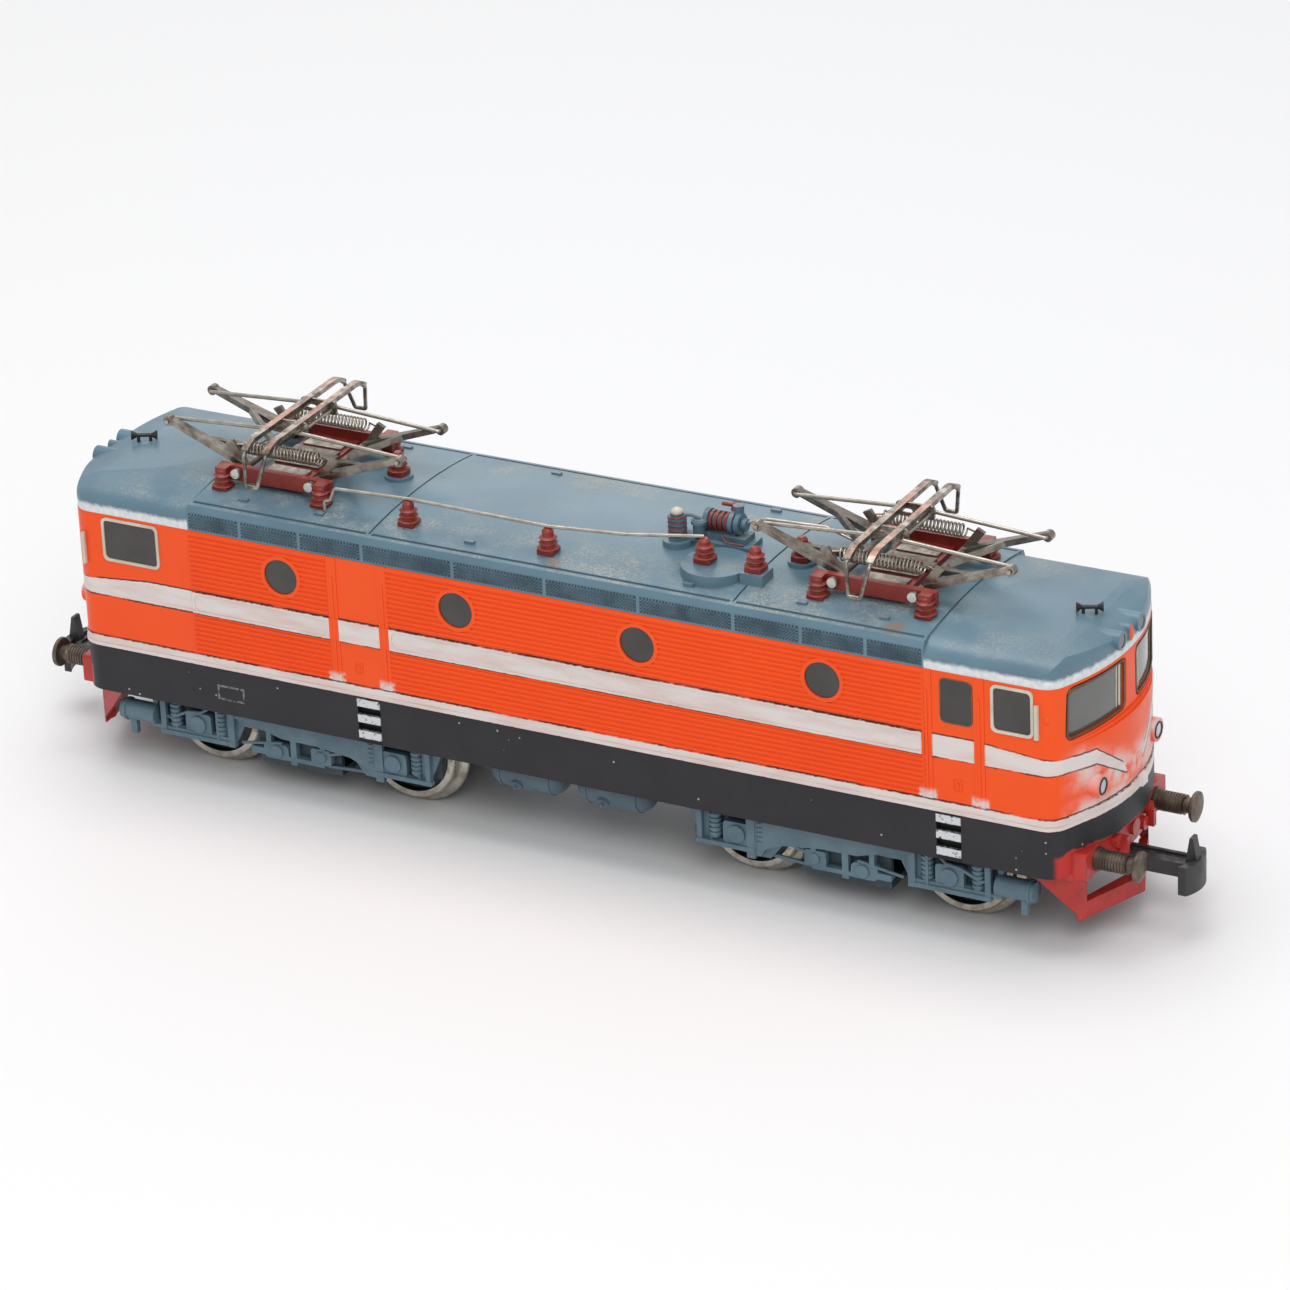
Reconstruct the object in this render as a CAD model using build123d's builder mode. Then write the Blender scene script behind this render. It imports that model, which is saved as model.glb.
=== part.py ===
"""Model electric locomotive, H0 scale (1:87), three-rail system.

Millimetres. +X runs along the length towards the motor-bogie end, +Z is up.
The origin lies under the middle of the locomotive, on the plane that the wheel flanges stand on.
The body is symmetric under a half turn about Z, so each side is drawn once and turned.
"""
import math
import os

from build123d import *

# ---------------------------------------------------------------- driving dimensions
HALF_LENGTH = 83.0          # middle of the bowed end wall
HALF_WIDTH = 16.85          # flat side wall
CORNER_X = 78.6             # where the bowed end wall would meet the side wall
CORNER_RADIUS = 3.2
WALL = 1.2
RELIEF = 0.25               # ribs and rims stand this far out of the side wall

SKIRT_Z = 12.9              # lower edge of the body
SILL_Z = 20.4               # top of the dark skirt
SILL_TOP_Z = 22.0           # top of the pale sill band
BELT_Z = (28.8, 32.2)       # pale belt band
EAVES_Z = 42.0              # body shell meets roof
CROWN_Z = 47.2              # roof centre line

PANEL_END_X = 59.4          # ribbed panel and roof hatches end here
HATCH_JOINT_X = 29.4        # cross joints between the three roof hatches
PORTHOLE_X = (-43.8, -14.7, 14.7, 43.8)
PORTHOLE_Z = 37.3
PORTHOLE_RADIUS = 2.75
BLANK_DOOR_X = (-36.1, -26.1)
CAB_DOOR_X = (58.9, 68.5)

BOGIE_X = 44.9              # bogie pivots
AXLE_OFFSET = 16.7          # half of the bogie wheelbase
TREAD_RADIUS = 7.45
FLANGE_RADIUS = 8.75
AXLE_Z = FLANGE_RADIUS
BACK_TO_BACK = 14.0
TYRE_WIDTH = 2.8

BUFFER_Y = 9.9
BUFFER_Z = 13.9
COUPLER_PIVOT_X = 75.5
COUPLER_Z = 9.9

PANTOGRAPH_X = 48.5         # middle of each pantograph
AXLE_HALF_GAP = 6.2         # lower arm shafts, either side of the middle
SHAFT_Z = 49.0
KNEE_HALF_GAP = 19.5
KNEE_Z = 53.8
KNEE_Y = 6.2
HEAD_HALF_GAP = 2.2         # head pivots, either side of the middle
HEAD_PIVOT_Z = 54.9
HEAD_HALF_WIDTH = 14.2

DECK_Z = (18.4, 20.4)       # chassis deck
RING_RADIUS = 13.4          # turntable ring of the motor bogie
GEAR_MODULE = 0.4
AXLE_TEETH = 32
MAIN_TEETH = 55
PINION_TEETH = 12
GEAR_Y = 4.7
GEAR_WIDTH = 1.4

os.makedirs("parts", exist_ok=True)

STANDING = (Align.CENTER, Align.CENTER, Align.MIN)
HANGING = (Align.CENTER, Align.CENTER, Align.MAX)

NEAR = Plane(origin=(0, -HALF_WIDTH, 0), x_dir=(1, 0, 0), z_dir=(0, -1, 0))
FRONT = Plane(origin=(HALF_LENGTH, 0, 0), x_dir=(0, 1, 0), z_dir=(1, 0, 0))


def save(piece, label):
    """Label a finished piece and write its STEP file."""
    piece.label = label
    export_step(piece, f"parts/{label}.step")


def half_turned(piece):
    """The same piece turned half a turn about Z, for the other end or side."""
    return piece.rotate(Axis.Z, 180)


def plan_outline(inset=0.0):
    """Body outline seen from above, moved inwards by inset."""
    with BuildSketch() as plan:
        with BuildLine():
            Line((-CORNER_X, -HALF_WIDTH), (CORNER_X, -HALF_WIDTH))
            ThreePointArc((CORNER_X, -HALF_WIDTH), (HALF_LENGTH, 0), (CORNER_X, HALF_WIDTH))
            Line((CORNER_X, HALF_WIDTH), (-CORNER_X, HALF_WIDTH))
            ThreePointArc((-CORNER_X, HALF_WIDTH), (-HALF_LENGTH, 0), (-CORNER_X, -HALF_WIDTH))
        make_face()
        fillet(plan.vertices(), CORNER_RADIUS)
        if inset:
            offset(amount=-inset)
    return plan.sketch


def outline_ring(outer, inner, bottom, top):
    """Hoop that follows the body outline, between two insets and two heights."""
    with BuildPart() as hoop:
        with BuildSketch(Plane.XY.offset(bottom)):
            add(plan_outline(outer))
            add(plan_outline(inner), mode=Mode.SUBTRACT)
        extrude(amount=top - bottom)
    return hoop.part


# ---------------------------------------------------------------- openings in the body
CAB_WINDOW = (72.75, 37.95, 6.5, 7.3)
CAB_DOOR_WINDOW = (64.25, 37.7, 4.9, 6.8)
REAR_WINDOW = (-69.5, 38.1, 9.8, 7.0)
WINDOW_CORNER = 0.9
FRAME_WIDTH = 0.45
LAMP_Y = 9.5
LAMP_Z = 25.1
ROOF_LAMP_Y = 3.3
ROOF_LAMP_Z = 44.6
SCREEN_INNER_Y = 2.1
SCREEN_OUTER_Y = 14.3
SCREEN_Z = (34.1, 41.2)
SCREEN_DROP = 0.2           # the outer lower corner hangs this much lower


def window_sketch(window, shrink=0.0):
    """Rounded window outline on the near side wall."""
    x, z, width, height = window
    with BuildSketch(NEAR) as opening:
        with Locations((x, z)):
            RectangleRounded(width - 2 * shrink, height - 2 * shrink, WINDOW_CORNER - shrink / 2)
    return opening.sketch


def windscreen_sketch(grow=0.0):
    """The two windscreens of the front end, as seen from ahead."""
    with BuildSketch(FRONT) as screens:
        for side in (-1, 1):
            with BuildLine():
                Polyline(
                    (side * SCREEN_INNER_Y, SCREEN_Z[0]),
                    (side * SCREEN_OUTER_Y, SCREEN_Z[0] - SCREEN_DROP),
                    (side * (SCREEN_OUTER_Y - 0.3), SCREEN_Z[1]),
                    (side * (SCREEN_INNER_Y - 0.2), SCREEN_Z[1]),
                    close=True,
                )
            make_face()
        fillet(screens.vertices(), 0.8)
        if grow:
            offset(amount=grow)
    return screens.sketch


def porthole_sketch(radius):
    """The four portholes of the near side."""
    with BuildSketch(NEAR) as holes:
        with Locations([(x, PORTHOLE_Z) for x in PORTHOLE_X]):
            Circle(radius)
    return holes.sketch


# ---------------------------------------------------------------- relief of one side wall
RIB_PITCH = 0.78
LOWER_RIBS = [SILL_TOP_Z + 0.55 + RIB_PITCH * i for i in range(8)]
UPPER_RIBS = [BELT_Z[1] + 0.75 + RIB_PITCH * i for i in range(12)]
RIB_SPANS = ((-PANEL_END_X, BLANK_DOOR_X[0]), (BLANK_DOOR_X[1], PANEL_END_X))
RIM_RADIUS = PORTHOLE_RADIUS + 0.6
BELT_MIDDLE_Z = (BELT_Z[0] + BELT_Z[1]) / 2
BELT_HEIGHT = BELT_Z[1] - BELT_Z[0]
PANEL_MIDDLE_Z = (SILL_TOP_Z + EAVES_Z) / 2
PANEL_HEIGHT = EAVES_Z - SILL_TOP_Z
POST_WIDTH = 1.6

with BuildPart() as side_relief:
    # horizontal ribs, broken by the blank door
    for start, end in RIB_SPANS:
        with BuildSketch(Plane.YZ.offset(start)):
            with Locations([(-HALF_WIDTH, z) for z in LOWER_RIBS + UPPER_RIBS]):
                Circle(RELIEF)
        extrude(amount=end - start)
    # belt band: a raised strip with a sunk middle between the doors
    with BuildSketch(NEAR):
        with Locations((0, BELT_MIDDLE_Z)):
            Rectangle(2 * PANEL_END_X, BELT_HEIGHT)
    extrude(amount=RELIEF)
    with BuildSketch(NEAR.offset(RELIEF - 0.12)):
        for start, end in RIB_SPANS:
            with Locations(((start + end) / 2, BELT_MIDDLE_Z)):
                RectangleRounded(end - start - 0.8, BELT_HEIGHT - 0.8, 1.0)
    extrude(amount=RELIEF, mode=Mode.SUBTRACT)
    # posts beside the blank door and the cab door
    with BuildSketch(NEAR):
        for door in (BLANK_DOOR_X, CAB_DOOR_X):
            for x in (door[0] + POST_WIDTH / 2, door[1] - POST_WIDTH / 2):
                with Locations((x, PANEL_MIDDLE_Z)):
                    Rectangle(POST_WIDTH, PANEL_HEIGHT)
    extrude(amount=0.12)
    # handrail moulded on each post
    with BuildSketch(NEAR.offset(0.1)):
        for door in (BLANK_DOOR_X, CAB_DOOR_X):
            for x in (door[0] + POST_WIDTH / 2, door[1] - POST_WIDTH / 2):
                with Locations((x, PANEL_MIDDLE_Z - 1.0)):
                    RectangleRounded(0.4, PANEL_HEIGHT - 4.0, 0.19)
    extrude(amount=0.15)
    # porthole rims
    extrude(porthole_sketch(RIM_RADIUS), amount=RELIEF)

# ---------------------------------------------------------------- cuts and lamps of the body
WINDSCREEN_SETBACK = 0.45   # the glass lies this far behind the end wall
BEAM_NOTCH_Z = 16.2         # the end skirts are cut away above the buffer beams
BEAM_HALF_WIDTH = 14.0
BEAM_NOTCH_X = 76.5
STEP_X = ((-32.3, -28.5), (60.8, 64.6))
STEP_Z = (13.6, 20.0)
STEP_BARS = 3
STEP_POCKET = 0.8
LAMP_BOSS_RADIUS = 1.75
LAMP_LENS_RADIUS = 1.15

with BuildPart() as side_cuts:
    # portholes and cab windows go right through the wall
    for opening in (
        porthole_sketch(PORTHOLE_RADIUS),
        window_sketch(CAB_WINDOW),
        window_sketch(CAB_DOOR_WINDOW),
        window_sketch(REAR_WINDOW),
    ):
        extrude(opening, amount=2.5 * WALL, both=True)
    # pockets for the step ladders
    with BuildSketch(NEAR.offset(-STEP_POCKET)):
        for start, end in STEP_X:
            with Locations(((start + end) / 2, (STEP_Z[0] + STEP_Z[1]) / 2)):
                Rectangle(end - start, STEP_Z[1] - STEP_Z[0])
    extrude(amount=2 * STEP_POCKET)

with BuildPart() as step_treads:
    with BuildSketch(NEAR.offset(-STEP_POCKET)):
        for start, end in STEP_X:
            for step in range(STEP_BARS):
                with Locations(((start + end) / 2, STEP_Z[0] + 0.65 + 2.55 * step)):
                    Rectangle(end - start, 1.3)
    extrude(amount=STEP_POCKET + 0.15)

with BuildPart() as nose_cuts:
    # windscreens, with a shallow rebate round them
    extrude(windscreen_sketch(), amount=8, both=True)
    extrude(windscreen_sketch(0.45), amount=8, both=True)
    add(outline_ring(-1, 0.35, SCREEN_Z[0] - 2, SCREEN_Z[1] + 1), mode=Mode.INTERSECT)
    extrude(windscreen_sketch(), amount=8, both=True)
    # notch for the buffer beam
    with BuildSketch(Plane.XY.offset(SKIRT_Z - 1)):
        with Locations((BEAM_NOTCH_X + 5, 0)):
            Rectangle(10, 2 * BEAM_HALF_WIDTH)
    extrude(amount=BEAM_NOTCH_Z - SKIRT_Z + 1)

NOSE_LAYER_Y = 14.3
NOSE_STEPS = ((0.9, SKIRT_Z, SILL_TOP_Z), (0.6, SILL_TOP_Z, 32.7), (0.3, 32.7, 33.2))


def nose_layer(fullness, bottom, top):
    """Crescent on the end wall that stands out by fullness in the middle."""
    with BuildPart() as layer:
        with BuildSketch(Plane.XY.offset(bottom)):
            with BuildLine():
                ThreePointArc((79.85, -NOSE_LAYER_Y), (HALF_LENGTH + fullness, 0), (79.85, NOSE_LAYER_Y))
                Line((79.85, NOSE_LAYER_Y), (79.85, -NOSE_LAYER_Y))
            make_face()
        extrude(amount=top - bottom)
        add(outline_ring(-2, WALL - 0.1, bottom, top), mode=Mode.INTERSECT)
    return layer.part


with BuildPart() as nose_relief:
    # lamp housings and the small jumper socket in the middle
    with BuildSketch(FRONT.offset(-4)):
        with Locations((-LAMP_Y, LAMP_Z), (LAMP_Y, LAMP_Z)):
            Circle(LAMP_BOSS_RADIUS)
    extrude(amount=3.9)
    with BuildSketch(FRONT.offset(-2)):
        with Locations((1.2, 24.4)):
            RectangleRounded(1.6, 2.6, 0.6)
    extrude(amount=2.7)
    # mirror stud on the corner
    with Locations((77.7, -16.3, 37.3)):
        Sphere(0.65)
    # the end wall is fuller below the windscreens, and fullest at the skirt
    for fullness, bottom, top in NOSE_STEPS:
        add(nose_layer(fullness, bottom, top))

with BuildPart() as lamp_bores:
    with BuildSketch(FRONT.offset(1)):
        with Locations((-LAMP_Y, LAMP_Z), (LAMP_Y, LAMP_Z)):
            Circle(LAMP_LENS_RADIUS)
    extrude(amount=-8)

# ---------------------------------------------------------------- body shell
with BuildPart() as body_shell:
    with BuildSketch(Plane.XY.offset(SKIRT_Z)):
        add(plan_outline())
        add(plan_outline(WALL), mode=Mode.SUBTRACT)
    extrude(amount=EAVES_Z - SKIRT_Z)
    # the sill band runs all the way round
    add(outline_ring(-0.15, 0.4, SILL_Z, SILL_TOP_Z))
    add(outline_ring(-RELIEF, 0.4, SILL_Z, SILL_Z + 0.6))
    for turn in (0, 180):
        add(side_relief.part.rotate(Axis.Z, turn))
        add(nose_relief.part.rotate(Axis.Z, turn))
        add(side_cuts.part.rotate(Axis.Z, turn), mode=Mode.SUBTRACT)
        add(nose_cuts.part.rotate(Axis.Z, turn), mode=Mode.SUBTRACT)
        add(lamp_bores.part.rotate(Axis.Z, turn), mode=Mode.SUBTRACT)
        add(step_treads.part.rotate(Axis.Z, turn))
    # lugs inside, which the two body screws pull down on the deck
    with BuildSketch(Plane.XY.offset(DECK_Z[1])):
        with Locations((0, 12.6), (0, -12.6)):
            Rectangle(8, 6.3)
    extrude(amount=5)
    with Locations((0, 12.2, DECK_Z[1]), (0, -12.2, DECK_Z[1])):
        Cylinder(0.85, 4, align=STANDING, mode=Mode.SUBTRACT)

save(body_shell.part, "body_shell")

# ---------------------------------------------------------------- glazing and window frames
GLAZING_THICKNESS = 0.7
FIT_GAP = 0.05

with BuildPart() as window_glazing_near:
    # one clear strip behind the wall, with panes that fill the openings
    with BuildSketch(NEAR.offset(-WALL - FIT_GAP)):
        with Locations((0, PORTHOLE_Z)):
            Rectangle(2 * 76.0, 8.6)
    extrude(amount=-GLAZING_THICKNESS)
    for x, z, width, height in (CAB_WINDOW, REAR_WINDOW):
        pane = window_sketch((x, z, width, height), FRAME_WIDTH + FIT_GAP)
        extrude(pane, amount=-WALL - 2 * FIT_GAP)
    extrude(window_sketch(CAB_DOOR_WINDOW, FIT_GAP), amount=-WALL - 2 * FIT_GAP)
    extrude(porthole_sketch(PORTHOLE_RADIUS - FIT_GAP), amount=-WALL - 2 * FIT_GAP)

save(window_glazing_near.part, "window_glazing_near")
save(half_turned(window_glazing_near.part), "window_glazing_far")

with BuildPart() as window_frames_near:
    for window in (CAB_WINDOW, REAR_WINDOW):
        extrude(window_sketch(window, FIT_GAP / 2), amount=0.2)
        extrude(window_sketch(window, FIT_GAP / 2), amount=-0.8)
        extrude(window_sketch(window, FRAME_WIDTH), amount=1, both=True, mode=Mode.SUBTRACT)

with BuildPart() as window_frames:
    add(window_frames_near.part)
    add(half_turned(window_frames_near.part))

save(window_frames.part, "window_frames")

with BuildPart() as screen_panes:
    extrude(windscreen_sketch(-FIT_GAP), amount=8, both=True)
    add(outline_ring(WINDSCREEN_SETBACK, WALL + 0.1, SCREEN_Z[0] - 2, EAVES_Z), mode=Mode.INTERSECT)

with BuildPart() as screen_strip:
    with BuildSketch(FRONT):
        with Locations((0, 37.7)):
            Rectangle(29.2, 8.4)
    extrude(amount=8, both=True)
    add(outline_ring(WALL + FIT_GAP, WALL + 0.75, SCREEN_Z[0] - 2, EAVES_Z), mode=Mode.INTERSECT)

with BuildPart() as windscreen_front:
    add(screen_panes.part)
    add(screen_strip.part)

save(windscreen_front.part, "windscreen_front")
save(half_turned(windscreen_front.part), "windscreen_rear")

# ---------------------------------------------------------------- roof
EAVES_ROUND = 3.3
ROOF_EDGE_Z = 45.55         # the crowned top meets the rounded edge
END_DROP = 1.5              # the roof falls this much towards each end
SHOULDER_FOOT = (16.95, 42.7)   # y, z where the side of a cab roof starts to round over
SHOULDER_TOP = (12.4, 46.2)
BROW_FOOT = (83.5, 43.0)    # x, z of the same at the end
BROW_TOP = (78.0, 46.3)
ROOF_WALL = 1.2
GRILLE_Z = (42.35, 44.75)
GRILLE_BARS_X = (-59.4, -50.5, -40.5, -30.0, -15.0, 0.0, 15.0, 30.0, 40.5, 50.5, 59.4)
GROOVE_Y = 15.3
PLINTH_CENTRE = (23.3, -8.4)
PLINTH_RADIUS = 5.1
PLINTH_TOP_Z = 48.0

with BuildPart() as roof_crown:
    # long barrel that gives the top its camber across and its fall towards the ends
    with BuildSketch(Plane.YZ.offset(-90)):
        with BuildLine():
            Polyline((-20, ROOF_EDGE_Z - 0.4), (-20, 35), (20, 35), (20, ROOF_EDGE_Z - 0.4))
            ThreePointArc((20, ROOF_EDGE_Z - 0.4), (0, CROWN_Z), (-20, ROOF_EDGE_Z - 0.4))
        make_face()
    extrude(amount=180)
    with BuildSketch(Plane.XZ.offset(-25)):
        with BuildLine():
            Polyline((-90, CROWN_Z - 3.2), (-90, 35), (90, 35), (90, CROWN_Z - 3.2))
            Spline(
                (90, CROWN_Z - 3.2), (82, CROWN_Z - END_DROP), (64, CROWN_Z),
                tangents=((-1, 0.35), (-1, 0)),
            )
            Line((64, CROWN_Z), (-64, CROWN_Z))
            Spline(
                (-64, CROWN_Z), (-82, CROWN_Z - END_DROP), (-90, CROWN_Z - 3.2),
                tangents=((-1, 0), (-1, -0.35)),
            )
        make_face()
    extrude(amount=50, mode=Mode.INTERSECT)

with BuildPart() as cab_roof_room:
    # the cab roof rounds off towards the sides ...
    with BuildSketch(Plane.YZ.offset(PANEL_END_X)):
        with BuildLine():
            foot_y, foot_z = SHOULDER_FOOT
            top_y, top_z = SHOULDER_TOP
            Polyline((-foot_y, foot_z), (-foot_y, 40), (foot_y, 40), (foot_y, foot_z))
            Spline((foot_y, foot_z), (top_y, top_z), tangents=((0, 1), (-1, 0.14)))
            ThreePointArc((top_y, top_z), (0, CROWN_Z + 0.1), (-top_y, top_z))
            Spline((-top_y, top_z), (-foot_y, foot_z), tangents=((-1, -0.14), (0, -1)))
        make_face()
    extrude(amount=30)
    # ... and towards the end
    with BuildSketch(Plane.XZ.offset(-25)):
        with BuildLine():
            Polyline(BROW_TOP, (50, 48), (50, 40), (BROW_FOOT[0], 40), BROW_FOOT)
            Spline(BROW_FOOT, BROW_TOP, tangents=((0, 1), (-1, 0.3)))
        make_face()
    extrude(amount=50, mode=Mode.INTERSECT)

with BuildPart() as cab_roof_excess:
    with Locations((PANEL_END_X, 0, 40)):
        Box(30, 40, 20, align=(Align.MIN, Align.CENTER, Align.MIN))
    add(cab_roof_room.part, mode=Mode.SUBTRACT)

with BuildPart() as roof_block:
    with BuildSketch(Plane.XY.offset(EAVES_Z)):
        add(plan_outline(0.05))
    extrude(amount=CROWN_Z + 0.1 - EAVES_Z)
    fillet(roof_block.faces().sort_by(Axis.Z)[-1].edges(), EAVES_ROUND)
    add(roof_crown.part, mode=Mode.INTERSECT)
    add(cab_roof_excess.part, mode=Mode.SUBTRACT)
    add(half_turned(cab_roof_excess.part), mode=Mode.SUBTRACT)

with BuildPart() as roof_fittings:
    # headlight pods, the oval marker between them, and the ridge that joins them
    with BuildSketch(FRONT.offset(-6)):
        with Locations((-ROOF_LAMP_Y, ROOF_LAMP_Z), (ROOF_LAMP_Y, ROOF_LAMP_Z)):
            Circle(1.35)
    extrude(amount=6.3)
    with BuildSketch(FRONT.offset(-6)):
        with Locations((0, ROOF_LAMP_Z - 0.2)):
            RectangleRounded(1.3, 2.4, 0.6)
    extrude(amount=6.1)
    with BuildSketch(Plane.XY.offset(EAVES_Z + 0.2)):
        with Locations((HALF_LENGTH - 4, 0)):
            Rectangle(6, 2 * ROOF_LAMP_Y)
    extrude(amount=2.6)

SCORE_DEPTH = 0.3
HATCH_ENDS = (-PANEL_END_X, -HATCH_JOINT_X, HATCH_JOINT_X, PANEL_END_X)

with BuildPart() as hatch_grooves:
    # score lines across and along the roof, all of one depth below the camber
    for x in HATCH_ENDS:
        with Locations((x, 0, CROWN_Z)):
            Box(0.25, 2 * GROOVE_Y, 6)
    for start, end in zip(HATCH_ENDS, HATCH_ENDS[1:]):
        middle = (start + end) / 2
        with Locations((middle, -GROOVE_Y, CROWN_Z), (middle, GROOVE_Y, CROWN_Z)):
            Box(end - start - 1.0, 0.5, 6)
    add(roof_crown.part.moved(Location((0, 0, -SCORE_DEPTH))), mode=Mode.SUBTRACT)

GRILLE_RECESS = 0.3
GRILLE_POST = 0.6

with BuildPart() as grille_pockets:
    # shallow pockets of the ventilation grilles, with a post between each two
    with BuildSketch(NEAR.offset(-GRILLE_RECESS)):
        for start, end in zip(GRILLE_BARS_X, GRILLE_BARS_X[1:]):
            with Locations(((start + end) / 2, sum(GRILLE_Z) / 2)):
                Rectangle(end - start - GRILLE_POST, GRILLE_Z[1] - GRILLE_Z[0])
    extrude(amount=2)

LIFT_EYES = ((-51.8, -12.9), (-39.1, -12.9), (-14.0, -13.0), (21.6, -13.6), (39.0, -12.9), (51.7, -12.9))
LIFT_EYE_Z = 46.2
INSULATOR_FEET = ((33.8, -2.3), (-34.0, 1.6))
FOOT_TOP_Z = 47.7
BOX_FOOT = (30.0, -9.2)
BOX_FOOT_TOP_Z = 48.3

with BuildPart() as roof_plinths:
    # round plinth of the circuit breaker, with the pads of its parts
    with Locations((*PLINTH_CENTRE, PLINTH_TOP_Z)):
        Cylinder(PLINTH_RADIUS, 2.5, align=HANGING)
    with Locations((14.5, -3.2, PLINTH_TOP_Z)):
        Cylinder(2.2, 2.0, align=HANGING)
    with Locations((20.0, -0.6, PLINTH_TOP_Z)):
        Box(11, 4.4, 2.0, align=HANGING)
    # square and round feet of the smaller insulators
    with Locations((*BOX_FOOT, BOX_FOOT_TOP_Z)):
        Box(3.6, 3.4, 2.6, align=HANGING)
    with Locations([(x, y, FOOT_TOP_Z) for x, y in INSULATOR_FEET]):
        Cylinder(2.1, 1.5, align=HANGING)
    # small lifting eyes along both edges
    with Locations([(x, side * y, LIFT_EYE_Z) for x, y in LIFT_EYES for side in (-1, 1)]):
        Box(1.5, 0.7, 1.0)

with BuildPart() as roof_lamp_bores:
    with BuildSketch(FRONT.offset(1)):
        with Locations((-ROOF_LAMP_Y, ROOF_LAMP_Z), (ROOF_LAMP_Y, ROOF_LAMP_Z)):
            Circle(0.95)
    extrude(amount=-4.0)

with BuildPart() as roof_cover:
    add(roof_block.part)
    add(hatch_grooves.part, mode=Mode.SUBTRACT)
    add(roof_plinths.part)
    for turn in (0, 180):
        add(roof_fittings.part.rotate(Axis.Z, turn))
        add(roof_lamp_bores.part.rotate(Axis.Z, turn), mode=Mode.SUBTRACT)
        add(grille_pockets.part.rotate(Axis.Z, turn), mode=Mode.SUBTRACT)
    # hollow underside
    with BuildSketch(Plane.XY.offset(EAVES_Z)):
        add(plan_outline(ROOF_WALL))
    extrude(amount=2.4, mode=Mode.SUBTRACT)

save(roof_cover.part, "roof_cover")

# ---------------------------------------------------------------- lamps
LENS_X = (77.6, 82.1)
ROOF_LENS_X = (80.1, 83.2)


def end_rods(y_offset, z, radius, start, end):
    """Four short rods along X, one each side of both ends."""
    with BuildPart() as rods:
        for direction in (-1, 1):
            with BuildSketch(Plane.YZ.offset(direction * start)):
                with Locations((-y_offset, z), (y_offset, z)):
                    Circle(radius)
            extrude(amount=direction * (end - start))
    return rods.part


with BuildPart() as lamp_lenses:
    add(end_rods(LAMP_Y, LAMP_Z, LAMP_LENS_RADIUS - 0.03, *LENS_X))
    add(end_rods(ROOF_LAMP_Y, ROOF_LAMP_Z, 0.92, *ROOF_LENS_X))

save(lamp_lenses.part, "lamp_lenses")

with BuildPart() as light_guides:
    # one clear bar per end carries the light of the bulb to both lower lamps
    for direction in (-1, 1):
        with Locations((direction * (LENS_X[0] - 0.7), 0, LAMP_Z)):
            Box(1.4, 2 * LAMP_Y + 2, 2.2)

save(light_guides.part, "light_guides")

with BuildPart() as headlight_bulbs:
    for direction in (-1, 1):
        with Locations((direction * 73.6, 0, DECK_Z[1])):
            Cylinder(1.9, 2.8, align=STANDING)
            Cylinder(1.4, 5.0, align=STANDING)
        with Locations((direction * 73.6, 0, DECK_Z[1] + 5.0)):
            Sphere(1.4)

save(headlight_bulbs.part, "headlight_bulbs")

# ---------------------------------------------------------------- chassis
END_BLOCK_X = (72.4, 79.0)
END_BLOCK_BOTTOM_Z = 11.3
TANK_RADIUS = 3.0
TANK_Y = 11.6
TANK_Z = 11.0
TANK_SEAT_Z = 13.2
TANK_SPANS = ((-12.8, -0.3), (1.4, 13.9))
SCREW_Y = 12.2

with BuildPart() as chassis_frame:
    with BuildSketch(Plane.XY.offset(DECK_Z[0])):
        add(plan_outline(WALL + 0.3))
        with Locations((BOGIE_X, 0)):
            Circle(RING_RADIUS + 0.1, mode=Mode.SUBTRACT)
        with Locations((-BOGIE_X, 0)):
            Circle(1.75, mode=Mode.SUBTRACT)
        with Locations((0, -SCREW_Y), (0, SCREW_Y)):
            Circle(0.95, mode=Mode.SUBTRACT)
    extrude(amount=DECK_Z[1] - DECK_Z[0])
    # end blocks carry the coupler pivots and the buffer beams
    for direction in (-1, 1):
        with Locations((direction * sum(END_BLOCK_X) / 2, 0, END_BLOCK_BOTTOM_Z)):
            Box(
                END_BLOCK_X[1] - END_BLOCK_X[0], 14, DECK_Z[0] - END_BLOCK_BOTTOM_Z,
                align=STANDING,
            )
        with Locations((direction * COUPLER_PIVOT_X, 0, END_BLOCK_BOTTOM_Z)):
            Cylinder(1.0, 2.6, align=HANGING)
    # saddles over the air tanks
    for side in (-1, 1):
        for start, end in TANK_SPANS:
            middle = side * (start + end) / -2
            with Locations((middle, side * TANK_Y, TANK_SEAT_Z)):
                Box(7, 4, DECK_Z[0] - TANK_SEAT_Z, align=STANDING)

save(chassis_frame.part, "chassis_frame")

TANK_END_SAG = 2.2


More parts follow.
